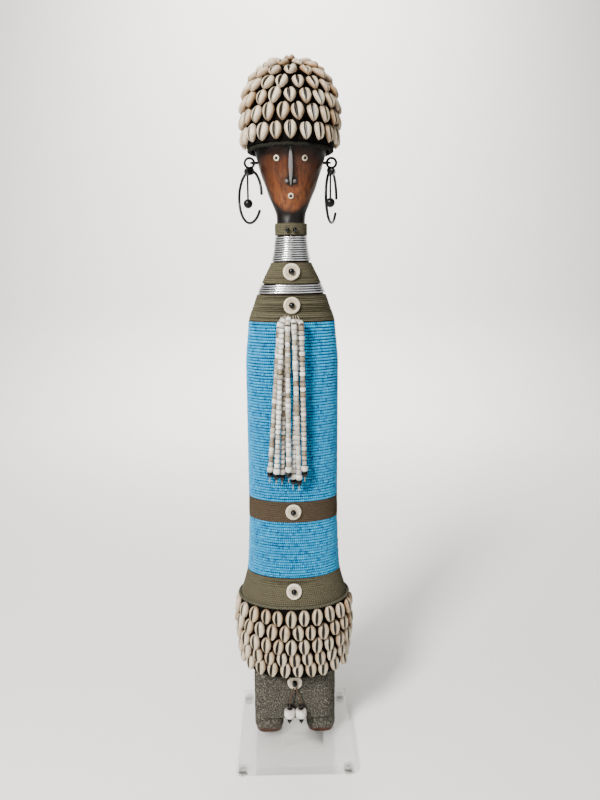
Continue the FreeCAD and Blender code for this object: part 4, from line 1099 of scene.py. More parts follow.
@dataclass
class ShellCover:
    """Overlapping rows of cowries on a round surface, each a little turned, shifted and sized.

    A row's shells lean on the surface with the upper end and stand off it with the lower end.
    """

    shell: Cowrie
    seed: int
    roll: float = 8.0

    def frames(self, here: np.ndarray, upward: np.ndarray, outward: np.ndarray, lift: float,
               rng: np.random.Generator) -> tuple[np.ndarray, np.ndarray]:
        """Middles and axes of the shells that lie at the given surface points.

        Args:
            here: surface points (n, 3).
            upward: directions up along the surface (n, 3).
            outward: directions off the surface (n, 3).
            lift: how far the lower ends stand off, in degrees.
            rng: source of the small differences.

        Returns:
            Middles (n, 3) and axes (n, 3, 3).
        """
        many = len(here)
        lean = np.radians(lift + rng.normal(0, 1.6, many))[:, None]
        up = upward * np.cos(lean) - outward * np.sin(lean)
        out = outward * np.cos(lean) + upward * np.sin(lean)
        across = np.cross(up, out)
        turn = np.radians(rng.normal(0, 4.2, many))[:, None]
        up, across = up * np.cos(turn) + across * np.sin(turn), across * np.cos(turn) - up * np.sin(turn)
        roll = np.radians(self.roll + rng.normal(0, 6.0, many))[:, None]
        across, out = across * np.cos(roll) - out * np.sin(roll), out * np.cos(roll) + across * np.sin(roll)
        middle = here + outward * (self.shell.length / 2 * np.sin(lean) + 0.05 * MM)
        middle = middle + across * rng.normal(0, 0.25 * MM, (many, 1))
        middle = middle + up * rng.normal(0, 0.35 * MM, (many, 1))
        size = rng.normal(1.0, 0.03, (many, 1)).clip(0.93, 1.05)
        stretch = rng.normal(1.0, 0.025, (many, 1)).clip(0.95, 1.05)
        return middle, np.stack([across * size, up * size * stretch, out * size], -1)

    def gather(self, rows: list[tuple[np.ndarray, np.ndarray, np.ndarray, float]], number: int) -> Shape:
        """All the shells of some rows as one shape."""
        rng = np.random.default_rng(self.seed + number)
        laid = [self.frames(*row, rng) for row in rows]
        middles = np.vstack([item[0] for item in laid])
        axes = np.concatenate([item[1] for item in laid])
        return self.shell.build().copies(middles, axes, tint=rng.random(len(middles)))


@dataclass
class Skirt:
    """The cowrie skirt on its black lining: five rows in three sub-parts."""

    outline: Outline
    pitch: float = 13.2 * MM
    drops: tuple[float, ...] = (10.2, 27.0, 43.5, 59.2, 72.4)
    lifts: tuple[float, ...] = (8.0, 9.0, 10.0, 11.0, 12.0)

    def row(self, number: int) -> tuple[np.ndarray, np.ndarray, np.ndarray, float]:
        """Points, upward and outward directions and lift of one row, counted from the top."""
        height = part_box("skirt_lining")[1].z - self.drops[number] * MM
        _, _, length = self.outline.rings(np.array([height]), 8)
        count = int(length[0] / self.pitch)
        levels = np.array([height - MM, height, height + MM])
        points, outward, _ = self.outline.rings(levels, count, number % 2 / 2)
        upward = unit(points[:, 2] - points[:, 0])
        across = np.cross([0.0, 0.0, 1.0], outward[:, 1])
        return points[:, 1], upward, unit(np.cross(across, upward)), self.lifts[number]

    def build(self, palette: "Palette") -> None:
        """Build the shells and the lining."""
        cover = ShellCover(Cowrie(18.4 * MM, 12.0 * MM, 5.8 * MM), 11)
        parts = {"upper": (0, 1), "middle": (2, 3), "lower": (4,)}
        for number, (word, rows) in enumerate(parts.items()):
            shape = cover.gather([self.row(row) for row in rows], number)
            palette.dress(shape, f"skirt_cowries_{word}", "cowrie", f"skirt_shells_{word}")
        low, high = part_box("skirt_lining")
        points, outward, _ = self.outline.rings(np.linspace(low.z, high.z, 60), 160)
        lining = palette.dress(shell_loop(points, outward, 1.6 * MM), "skirt_cloth", "lining", "skirt_lining")


@dataclass
class Cap:
    """The cowrie cap: a black dome whose radius is a root of one minus the height's power."""

    fullness: float = 3.4
    pitch: float = 11.3 * MM
    tuck: float = 2.5 * MM
    levels: tuple[float, ...] = (8.8, 23.6, 36.8, 47.8, 57.2, 64.6, 69.8)
    lifts: tuple[float, ...] = (10.0, 15.0, 19.0, 22.0, 24.0, 24.0, 20.0)

    def __post_init__(self) -> None:
        """Read the dome's radius and heights from its node."""
        low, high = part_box("cap_lining")
        self.low, self.high, self.radius = low.z, high.z, (high.x - low.x) / 2

    def radius_at(self, height: np.ndarray) -> np.ndarray:
        """The dome's radius at a height."""
        share = np.clip((height - self.low) / (self.high - self.low), 0, 1)
        return self.radius * np.sqrt(1 - share ** self.fullness)

    def row(self, number: int) -> tuple[np.ndarray, np.ndarray, np.ndarray, float]:
        """Points, upward and outward directions and lift of one row, counted from the rim."""
        height = self.low + self.levels[number] * MM
        radius, above = self.radius_at(height), self.radius_at(height + 0.4 * MM)
        count = int(TAU * (radius - self.tuck) / self.pitch)
        angle = (np.arange(count) + number % 2 / 2) / count * TAU - math.pi / 2
        spoke = np.stack([np.cos(angle), np.sin(angle), np.zeros(count)], -1)
        upward = unit(spoke * (above - radius) + np.array([0, 0, 0.4 * MM]))
        across = np.cross([0.0, 0.0, 1.0], spoke)
        return (spoke * radius + np.array([0, 0, height]), upward, unit(np.cross(across, upward)),
                self.lifts[number])

    def build(self, palette: "Palette") -> None:
        """Build the shells and the dome."""
        cover = ShellCover(Cowrie(16.5 * MM, 11.6 * MM, 5.6 * MM), 23)
        for number, (word, rows) in enumerate({"lower": (0, 1), "upper": (2, 3), "crown": (4, 5, 6)}.items()):
            shape = cover.gather([self.row(row) for row in rows], number)
            if word == "crown":
                top = np.array([[0.0, 0.0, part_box("cap_shells_crown")[1].z - 6.0 * MM]])
                axes = frames_along(np.array([[0.0, 0.0, 1.0]]), np.array([[1.0, 0.25, 0.0]]))
                shape = shape.joined(cover.shell.build().copies(top, axes, tint=np.array([0.4])))
            palette.dress(shape, f"cap_cowries_{word}", "cowrie", f"cap_shells_{word}")
        share = np.sin(np.linspace(0, math.pi / 2, 26))
        heights = np.concatenate([[self.low, self.low], self.low + (self.high - self.low) * share[1:]])
        radii = np.concatenate([[0.0, self.radius], self.radius_at(heights[2:])])
        turn = np.linspace(0, TAU, 96, endpoint=False)[:, None]
        points = np.stack([np.cos(turn) * radii, np.sin(turn) * radii,
                           np.broadcast_to(heights, (96, len(heights)))], -1)
        cloth = palette.dress(Shape.capped(points), "cap_cloth", "lining", "cap_lining")


def rope(path: np.ndarray, radius: float, lobes: int, turns: int, sides: int = 18) -> Shape:
    """A laid cord along a closed path: a section of round lobes that turns as it goes along.

    The section's radius is a cosine of the angle times the number of lobes, bent so that the lobes
    are round and the grooves sharp; the angle of the section grows along the path.
    """
    side, other = axes_along(path, True, np.array([0.0, 0.0, 1.0]))
    around = np.linspace(0, TAU, sides, endpoint=False)[:, None]
    along = np.arange(len(path))[None] / len(path)
    phase = lobes * around / 2 + turns * TAU * along * lobes / 2
    lobe = np.abs(np.cos(phase))
    spread = radius * (0.74 + 0.26 * lobe ** 0.7)
    points = path[None] + (np.cos(around) * spread)[..., None] * side
    points = points + (np.sin(around) * spread)[..., None] * other
    uv = loop_pattern(path, sides)[..., ::-1]
    # Painted shade: the hollows between the lobes are marked for darkening.
    return Shape.grid(points, True, True, uv, groove=np.clip(1 - lobe * 2.2, 0, 1))


@dataclass
class RimCord:
    """A laid cord round an oval rim, from its CAD node's box."""

    node: str
    thickness: float
    finish: str
    lobes: int = 3
    lay: float = 2.6

    def build(self, palette: "Palette") -> bpy.types.Object:
        """Build the cord, with a slight rise and fall, and dress it."""
        low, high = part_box(self.node)
        half = np.array([high.x - low.x, high.y - low.y]) / 2 - self.thickness / 2
        angle = np.linspace(0, TAU, 720, endpoint=False)
        rise = 0.25 * MM * np.sin(3 * angle + 0.7) + 0.15 * MM * np.sin(7 * angle)
        path = np.stack([half[0] * np.cos(angle), half[1] * np.sin(angle), (low.z + high.z) / 2 + rise], -1)
        length = np.linalg.norm(np.diff(path, axis=0), axis=1).sum()
        turns = 2 * round(length / (self.thickness * self.lay * self.lobes) / 2) * 2
        shape = rope(path, self.thickness / 2, self.lobes, turns)
        return palette.dress(shape, self.node + "_laid", self.finish, self.node)


@dataclass
class Carving:
    """The carved wood: head and neck, nose, the hidden trunk, and the soles of the feet."""

    outline: Outline
    face: tuple[float, float] = (609.5, 641.5)
    levels: tuple[float, ...] = (-69, -60, -40, -20, 0, 22, 44, 66)

    def __post_init__(self) -> None:
        """Read the head's half sizes at each of its carved levels."""
        points = node_points("carved_core")
        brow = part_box("cap_lining")[0].z
        stations = []
        for step in self.levels:
            rim = points[np.abs(points[:, 2] - brow - step * MM) < 0.3 * MM]
            stations.append((brow + step * MM, np.abs(rim[:, 0]).max(), -rim[:, 1].min()))
        self.table = np.array(stations)
        LOG.info("head levels: %s", np.round(self.table / MM, 1).tolist())

    def half_sizes(self, height: np.ndarray) -> tuple[np.ndarray, np.ndarray]:
        """Half width and half depth of the head, straight between levels and softened over 8 mm."""
        shifts, weights = np.linspace(-4, 4, 7) * MM, np.array([1, 2, 3, 4, 3, 2, 1]) / 16
        sizes = []
        for column in (1, 2):
            near = [np.interp(height + shift, self.table[:, 0], self.table[:, column]) for shift in shifts]
            sizes.append(np.tensordot(weights, np.array(near), 1))
        return sizes[0], sizes[1]

    def front(self, x: float, height: float) -> float:
        """The Y of the head's surface at a place on the face."""
        wide, deep = self.half_sizes(np.array([height]))
        return -float(deep[0] * math.sqrt(max(1 - (x / wide[0]) ** 2, 0)))

    def head(self) -> Shape:
        """Ovals from inside the collar to the crown, closed at both ends."""
        low, high = self.table[0, 0] - 6 * MM, self.table[-1, 0]
        heights = np.linspace(low, high, 110)
        wide, deep = self.half_sizes(heights)
        heights, wide, deep = (np.concatenate([a[:1], a, a[-1:]]) for a in (heights, wide, deep))
        wide[[0, -1]] = deep[[0, -1]] = 0
        angle = np.linspace(0, TAU, 128, endpoint=False)[:, None]
        x, y = np.cos(angle) * wide, np.sin(angle) * deep
        carve = 1 + 0.006 * np.sin(5 * angle + heights * 260) + 0.004 * np.sin(11 * angle - heights * 410)
        points = np.stack([x * carve, y * carve, np.broadcast_to(heights, x.shape)], -1)
        z = points[..., 2] / MM
        facing = np.clip(-np.sin(angle) * 1.5, 0, 1)
        nose = np.exp(-(points[..., 0] / (6.2 * MM)) ** 2 - ((z - 613) / 5.5) ** 2) * facing
        ridge = np.exp(-(points[..., 0] / (3.4 * MM)) ** 2) * facing * (z > 612) * (z < 642)
        eyes = sum(np.exp(-((points[..., 0] / MM - x0) / 4.6) ** 2 - ((z - 632) / 4.6) ** 2)
                   for x0 in (-13, 13))
        chin = self.table[0, 0] / MM + 13 + 8 * (points[..., 0] / (16 * MM)) ** 2
        # Painted shade: darker where the head turns from the front to its sides and back.
        side_shade = np.clip(1.15 + np.sin(angle) * 1.25, 0, 0.75)
        # Darkening: scorching round the nose and ridge, darker round the eyes, painted shadow of the cap above
        # 630 mm, painted shade under the chin.
        burnt = np.clip(0.95 * nose + 0.6 * ridge + 0.3 * eyes * facing + side_shade
                        + np.clip((z - 630) / 14, 0, 0.9) + np.clip((chin - z) / 4, 0, 1), 0, 1)
        # Painted sheen on the front of the face round 598 mm.
        polish = np.clip(1 - np.abs(z - 598) / 26, 0, 1) * (0.4 + 0.6 * facing) * (1 - burnt)
        return Shape.capped(points, burnt=burnt, polish=polish)

    def nose(self) -> Shape:
        """A blade on the face's middle line: a flat front, steep sides, pointed ends; the flat front carries a
        painted reflection.
        """
        share = np.linspace(0, 1, 34)
        heights = (self.face[0] - 1.5 + (self.face[1] - self.face[0] + 3) * share) * MM
        base = np.array([self.front(0.0, z) for z in heights])
        taper = np.clip(np.sin(math.pi * share), 0, 1) ** 0.45
        half = 1.7 * MM * taper * (1.0 + 0.28 * np.sin(math.pi * share) ** 2)
        rise = 5.0 * MM * np.clip(np.sin(math.pi * np.clip(share * 1.02, 0, 1)), 0, 1) ** 0.42
        flare = 1 + 0.7 * np.exp(-((share - 0.08) / 0.12) ** 2)
        across = np.array([0.55, 1.35, 1.12, 1.0, 0.8, -0.8, -1.0, -1.12, -1.35, -0.55])
        depth = np.array([-0.35, 0.0, 0.55, 0.9, 1.0, 1.0, 0.9, 0.55, 0.0, -0.35])
        wide = across[:, None] * half * np.where(np.abs(across)[:, None] > 1.05, flare, 1.0)
        points = np.stack([wide, base - depth[:, None] * rise, np.broadcast_to(heights, wide.shape)], -1)
        points[:, 0], points[:, -1] = points[:, 0].mean(0), points[:, -1].mean(0)
        # Painted reflection: the flat front is marked for the grey colour, patched with worn pink wood.
        strip = (np.abs(depth) > 0.95).astype(float)[:, None] * (share > 0.03) * (share < 0.97)
        return Shape.capped(points[::-1], strip=strip[::-1])

    def nostrils(self) -> Shape:
        """Two worn half beads beside the blade's lower end."""
        beads = []
        for side in Side:
            x, z = side.value * 3.5 * MM, 612.5 * MM
            middle = np.array([[x, self.front(x, z) - 0.6 * MM, z]])
            axes = frames_along(np.array([[side.value * 0.25, -1.0, 0.0]]), np.array([[1.0, 0.0, 0.0]]))
            worn = ball(2.5 * MM, 12, 20, 0.95)
            # The front cap is marked for worn pink wood mixed with the grey painted reflection.
            worn.values["strip"] = np.clip(worn.points[:, 2] / (2.4 * MM) - 0.45, 0, 1) * 1.4
            beads.append(worn.copies(middle, axes))
        return Shape.gathered(beads)

    def trunk(self) -> Shape:
        """The wood inside the wraps, one wrap's thickness in from the outline."""
        heights = np.linspace(96 * MM, self.table[0, 0], 80)
        points, outward, _ = self.outline.rings(heights, 64)
        points = points - outward * 2.4 * MM
        low, high = (np.array([[[0, 0, level]]]).repeat(64, 0) for level in heights[[0, -1]])
        return Shape.capped(np.concatenate([low, points, high], 1), burnt=np.full((64, 82), 0.7))

    def block(self, node: str, low: float, high: float, inset: float, corner: float) -> Shape:
        """A rounded block inside a leg's twine, worn round at its lower edge."""
        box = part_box(node)
        half = np.array([(box[1].x - box[0].x) / 2, (box[1].y - box[0].y) / 2]) - corner
        middle = np.array([(box[1].x + box[0].x) / 2, (box[1].y + box[0].y) / 2])
        heights = low + (high - low) * np.array([0, 0, 0.03, 0.08, 0.5, 1, 1])
        inwards = np.array([1.2, 1.2, 0.4, 0, 0, 0, 0]) * MM + inset
        turn = ((np.arange(64) + 0.5) / 64 * TAU)[:, None]
        spread = corner - inwards
        x = middle[0] + np.sign(np.cos(turn)) * half[0] + np.cos(turn) * spread
        y = middle[1] + np.sign(np.sin(turn)) * half[1] + np.sin(turn) * spread
        points = np.stack([x, y, np.broadcast_to(heights, x.shape)], -1)
        points[:, 0], points[:, -1] = points[:, 0].mean(0), points[:, -1].mean(0)
        return Shape.capped(points, burnt=np.full((64, 7), 0.25))

    def build(self, palette: "Palette") -> None:
        """Build the wood's pieces; together they stand for the carved core."""
        palette.dress(self.head(), "head", "wood", "carved_core")
        palette.dress(self.nose().joined(self.nostrils()), "nose", "nose", "carved_core")
        palette.dress(self.trunk(), "trunk", "wood", "carved_core")
        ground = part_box("base_plate")[1].z
        for side in Side:
            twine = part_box(f"{side.word}_leg_twine")
            sole = self.block(f"{side.word}_leg_twine", ground, twine[1].z + 2 * MM, 1.6 * MM, 11 * MM)
            palette.dress(sole, f"{side.word}_sole", "wood", "carved_core")
        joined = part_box("leg_block_twine")
        inner = self.block("leg_block_twine", joined[0].z + 0.2 * MM, joined[1].z, 1.9 * MM, 16 * MM)
        palette.dress(inner, "leg_block", "wood", "carved_core")


def flat_frame(points: np.ndarray) -> tuple[np.ndarray, np.ndarray]:
    """Middle and facing direction of a flat round piece, turned towards -Y or off the body."""
    middle = (points.min(0) + points.max(0)) / 2
    _, _, axes = np.linalg.svd(points - points.mean(0), full_matrices=False)
    normal = axes[2]
    return middle, -normal if normal[1] > 0 else normal


def turned(radii: np.ndarray, levels: np.ndarray, sides: int, wobble: float, phase: float) -> Shape:
    """A closed ring turned about Z from a section loop, its radius wavering with a slow sine."""
    turn = np.linspace(0, TAU, sides, endpoint=False)[:, None]
    waver = 1 + wobble * (np.sin(2 * turn + phase) + 0.6 * np.sin(3 * turn + phase * 2.1)
                          + 0.3 * np.sin(7 * turn + phase * 0.7))
    share = (radii - radii.min()) / (radii.max() - radii.min())
    spread = radii * (1 + (waver - 1) * share)
    points = np.stack([np.cos(turn) * spread, np.sin(turn) * spread,
                       np.broadcast_to(levels, spread.shape)], -1)
    # Marked for darkening: painted shade round the hole, under the bead or pin, and a real brown stain ring at
    # half the width.
    inner = np.clip(1 - share * 2.2, 0, 1) ** 1.5 + 0.55 * np.exp(-((share - 0.50) / 0.07) ** 2)
    inner = np.broadcast_to(np.clip(inner, 0, 1), spread.shape)
    return Shape.grid(points, True, True, groove=inner, tint=np.full(spread.shape, (math.sin(phase) + 1) / 2))


@dataclass
class Discs:
    """Bone discs with a shiny bead in each hole, at the places of their CAD nodes."""

    nodes: tuple[str, ...] = ("upper_chest_disc", "lower_chest_disc", "waist_disc", "belt_disc", "apron_disc")
    radius: float = 8.25 * MM
    hole: float = 2.2 * MM
    thickness: float = 2.2 * MM
    bead: float = 3.0 * MM
    bead_rise: float = 2.9 * MM

    def build(self, palette: "Palette") -> None:
        """Build the discs and their beads."""
        beads = []
        half = self.thickness / 2
        for index, node in enumerate(self.nodes):
            middle, facing = flat_frame(node_points(node))
            edge = self.radius
            radii = np.array([self.hole, self.hole, self.hole + 0.5 * MM, edge * 0.50, edge * 0.60,
                              edge * 0.66, edge * 0.72, edge - 0.9 * MM, edge - 0.25 * MM, edge, edge - 0.3 * MM,
                              edge - 1.2 * MM, self.hole + 0.4 * MM])
            levels = np.array([-half * 0.7, half * 0.1, half * 0.45, half * 0.5, half * 0.42, half * 0.55,
                               half * 0.95, half * 0.92, half * 0.50, -half * 0.1, -half * 0.7, -half, -half])
            shape = turned(radii[::-1], levels[::-1], 56, 0.016, 1.3 * index + 0.4)
            axes = frames_along(facing[None], np.array([[math.cos(index), 0.0, math.sin(index)]]))
            palette.dress(shape.copies(middle[None], axes), node + "_worn", "bone", node)
            bead = ball(self.bead, 14, 24, 0.94)
            beads.append(bead.copies((middle + facing * self.bead_rise)[None], axes))
        palette.dress(Shape.gathered(beads), "disc_glass_beads", "black_glass", "disc_beads")


@dataclass
class Face:
    """White rings with black pins for the eyes and the mouth, and the two beads at the throat."""

    pin: float = 1.35 * MM
    pin_rise: float = 0.15 * MM

    def build(self, palette: "Palette") -> None:
        """Build the rings at their nodes' places, then the pins and beads."""
        pins = []
        for index, node in enumerate(("left_eye_ring", "right_eye_ring", "mouth_ring")):
            middle, facing = flat_frame(node_points(node))
            radii = np.array([1.15, 1.25, 1.7, 2.3, 2.7, 2.75, 2.6, 1.3]) * MM
            levels = np.array([-0.5, 0.35, 0.68, 0.66, 0.3, -0.2, -0.7, -0.7]) * MM
            shape = turned(radii[::-1], levels[::-1], 36, 0.02, 0.9 * index)
            axes = frames_along(facing[None], np.array([[0.0, 0.3, 1.0]]))
            palette.dress(shape.copies(middle[None], axes), node + "_worn", "bone", node)
            head = ball(self.pin, 10, 18, 0.75)
            pins.append(head.copies((middle + facing * self.pin_rise)[None], axes))
        palette.dress(Shape.gathered(pins), "face_pin_heads", "black_glass", "face_pins")
        low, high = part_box("throat_beads")
        radius = (high.z - low.z) / 2
        places = np.array([[x, low.y + radius + 0.2 * MM, (low.z + high.z) / 2]
                           for x in (low.x + radius, high.x - radius)])
        axes = np.repeat(np.eye(3)[None], 2, 0)
        palette.dress(ball(radius, 14, 22).copies(places, axes), "throat_glass_beads", "black_glass",
                      "throat_beads")


# ---------------------------------------------------------------- cords and their beads

@dataclass
class HangingCord:
    """A free cord on a body of its own: one open NURBS line through a given route.

    Attributes are the CAD node, the route in metres from where it leaves the doll, and thickness.
    """

    node: str
    route: tuple[tuple[float, float, float], ...]
    thickness: float
    bend: float = 3.0 * MM

    def controls(self) -> np.ndarray:
        """The route's points, with two more close to each bend so that the line follows it."""
        route = np.array(self.route)
        points = [route[0]]
        for before, corner, after in zip(route, route[1:], route[2:]):
            reach = min(self.bend, np.linalg.norm(corner - before) / 2, np.linalg.norm(after - corner) / 2)
            points += [corner + unit(before - corner) * reach, corner, corner + unit(after - corner) * reach]
        return np.vstack(points + [route[-1]])

    def build(self, palette: "Palette", finish: str) -> tuple[bpy.types.Object, np.ndarray]:
        """Make the curve object and read its line back.

        Returns:
            The cord and the points along its middle (n, 3).
        """
        curve = bpy.data.curves.new(self.node + "_line", "CURVE")
        curve.dimensions = "3D"
        spline = curve.splines.new("NURBS")
        controls = self.controls()
        spline.points.add(len(controls) - 1)
        for point, place in zip(spline.points, controls):
            point.co = (*place, 1.0)
        spline.order_u = 3
        spline.use_endpoint_u = True
        spline.resolution_u = 16
        cord = bpy.data.objects.new(self.node + "_line", curve)
        bpy.context.scene.collection.objects.link(cord)
        bpy.context.view_layer.update()
        line = bpy.data.meshes.new_from_object(cord)
        flat = np.zeros(len(line.vertices) * 3, np.float32)
        line.vertices.foreach_get("co", flat)
        bpy.data.meshes.remove(line)
        curve.bevel_depth = self.thickness / 2
        curve.bevel_resolution = 3
        curve.use_fill_caps = True
        curve.materials.append(palette.material(finish))
        palette.place(cord, finish, self.node)
        return cord, flat.reshape(-1, 3).astype(float)


def along_line(line: np.ndarray, places: np.ndarray) -> tuple[np.ndarray, np.ndarray]:
    """Points and directions at distances along a line."""
    run = np.concatenate([[0], np.cumsum(np.linalg.norm(np.diff(line, axis=0), axis=1))])
    at = [np.stack([np.interp(np.clip(places + step, 0, run[-1]), run, line[:, k]) for k in range(3)], -1)
          for step in (-0.4 * MM, 0, 0.4 * MM)]
    return at[1], unit(at[2] - at[0])


class BeadForm(Enum):
    """How a fringe bead is cut."""

    TUBE = 0.12
    ROUND = 0.75


@dataclass
class Fringe:
    """Seven hanging strands of chalky beads, each on its thread, with its last beads."""

    strands: tuple = (
        (((-0.0072, -0.0257, 0.4880), (-0.0120, -0.0299, 0.4800), (-0.0240, -0.0299, 0.3203)),
         BeadForm.TUBE, 0.75),
        (((-0.0059, -0.0257, 0.4880), (-0.0098, -0.0354, 0.4800), (-0.0172, -0.0354, 0.3198)),
         BeadForm.ROUND, 0.1),
        (((-0.0039, -0.0257, 0.4880), (-0.0064, -0.0299, 0.4800), (-0.0113, -0.0299, 0.3175)),
         BeadForm.ROUND, 0.7),
        (((-0.0026, -0.0257, 0.4880), (-0.0043, -0.0354, 0.4800), (-0.0045, -0.0354, 0.3215)),
         BeadForm.TUBE, 0.35),
        (((0.0032, -0.0257, 0.4880), (0.0054, -0.0299, 0.4800), (-0.0003, -0.0299, 0.3125)),
         BeadForm.ROUND, 0.2),
        (((0.0012, -0.0257, 0.4880), (0.0019, -0.0354, 0.4800), (0.0061, -0.0354, 0.3135)),
         BeadForm.TUBE, 0.45),
        (((0.0055, -0.0257, 0.4880), (0.0091, -0.0354, 0.4800), (0.0117, -0.0354, 0.3225)),
         BeadForm.ROUND, 0.65),
    )
    pitch: float = 5.0 * MM
    width: float = 5.2 * MM
    tail: float = 6.0 * MM

    def beads(self, line: np.ndarray, lead: float, form: BeadForm, tone: float,
              seed: int) -> tuple[Shape, Shape]:
        """The chalky beads and the black stop bead of one strand."""
        rng = np.random.default_rng(40 + seed)
        run = np.linalg.norm(np.diff(line, axis=0), axis=1).sum()
        stop = run - self.tail - 2.2 * MM
        last = stop - 2.6 * MM - 3.0 * MM
        places = np.arange(last - 3.4 * MM - self.pitch / 2, lead, -self.pitch)
        middle, along = along_line(line, places)
        along = unit(along + rng.normal(0, 0.035, along.shape))
        axes = frames_along(along, np.array([0.0, -1.0, 0.0]))
        girth = rng.normal(0.98, 0.07, len(places)).clip(0.82, 1.06)
        length = np.full(len(places), 1.0)
        scale = np.stack([girth, girth, length], -1)[:, None, :]
        one = ring_bead(self.width / 2, 0.55 * MM, self.pitch * 0.94, 14, form.value)
        tint = (tone + rng.normal(0, 0.30, len(places))).clip(0, 1)
        chalk = one.copies(middle, axes * scale, tint=tint)
        place, way = along_line(line, np.array([last]))
        end = ring_bead(3.4 * MM, 0.6 * MM, 6.2 * MM, 18, 0.95)
        chalk = chalk.joined(end.copies(place, frames_along(way, np.array([0.0, -1.0, 0.0])),
                                        tint=np.array([tone * 0.6])))
        place, way = along_line(line, np.array([stop]))
        black = ring_bead(3.0 * MM, 0.5 * MM, 5.2 * MM, 16, 0.8)
        return chalk, black.copies(place, frames_along(way, np.array([0.0, -1.0, 0.0])))

    def build(self, palette: "Palette") -> None:
        """Build every strand: its thread, its chalky beads and its stop bead."""
        for number, (route, form, tone) in enumerate(self.strands, start=1):
            cord = HangingCord(f"fringe_cord_{number}", route, 1.0 * MM)
            thread, line = cord.build(palette, "thread")
            lead = math.dist(route[0], route[1]) * 0.45
            chalk, black = self.beads(line, lead, form, tone, number)
            pieces = [palette.dress(chalk, f"fringe_beads_{number}", "chalk", "fringe_beads"),
                      palette.dress(black, f"fringe_stop_{number}", "black_glass", "fringe_beads")]


@dataclass
class Tassels:
    """Two brown thongs over the leg block, each with a white bead between two black ones."""

    routes: tuple = (
        (Side.LEFT, ((-0.0013, -0.0216, 0.0766), (-0.0056, -0.0239, 0.0620), (-0.0063, -0.0250, 0.0345))),
        (Side.RIGHT, ((0.0013, -0.0216, 0.0766), (0.0063, -0.0239, 0.0620), (0.0070, -0.0250, 0.0345))),
    )

    def build(self, palette: "Palette") -> None:
        """Build both thongs and their beads."""
        toward = np.array([0.0, -1.0, 0.0])
        for side, route in self.routes:
            cord = HangingCord(f"{side.word}_tassel_cord", route, 1.8 * MM)
            thong, line = cord.build(palette, "thong")
            run = np.linalg.norm(np.diff(line, axis=0), axis=1).sum()
            low, middle, high = (run - step * MM for step in (4.6, 12.9, 21.2))
            place, way = along_line(line, np.array([middle]))
            white = ring_bead(6.0 * MM, 1.0 * MM, 11.2 * MM, 32, 0.98)
            pearl = white.copies(place, frames_along(way, toward), tint=np.array([0.15]))
            place, way = along_line(line, np.array([low, high]))
            black = ring_bead(2.5 * MM, 0.95 * MM, 4.7 * MM, 22, 0.9)
            jet = black.copies(place, frames_along(way, toward))
            node = f"{side.word}_tassel_beads"
            pieces = [palette.dress(pearl, f"{side.word}_tassel_pearl", "chalk", node),
                      palette.dress(jet, f"{side.word}_tassel_jet", "black_glass", node)]


# ---------------------------------------------------------------- finishes and the whole doll

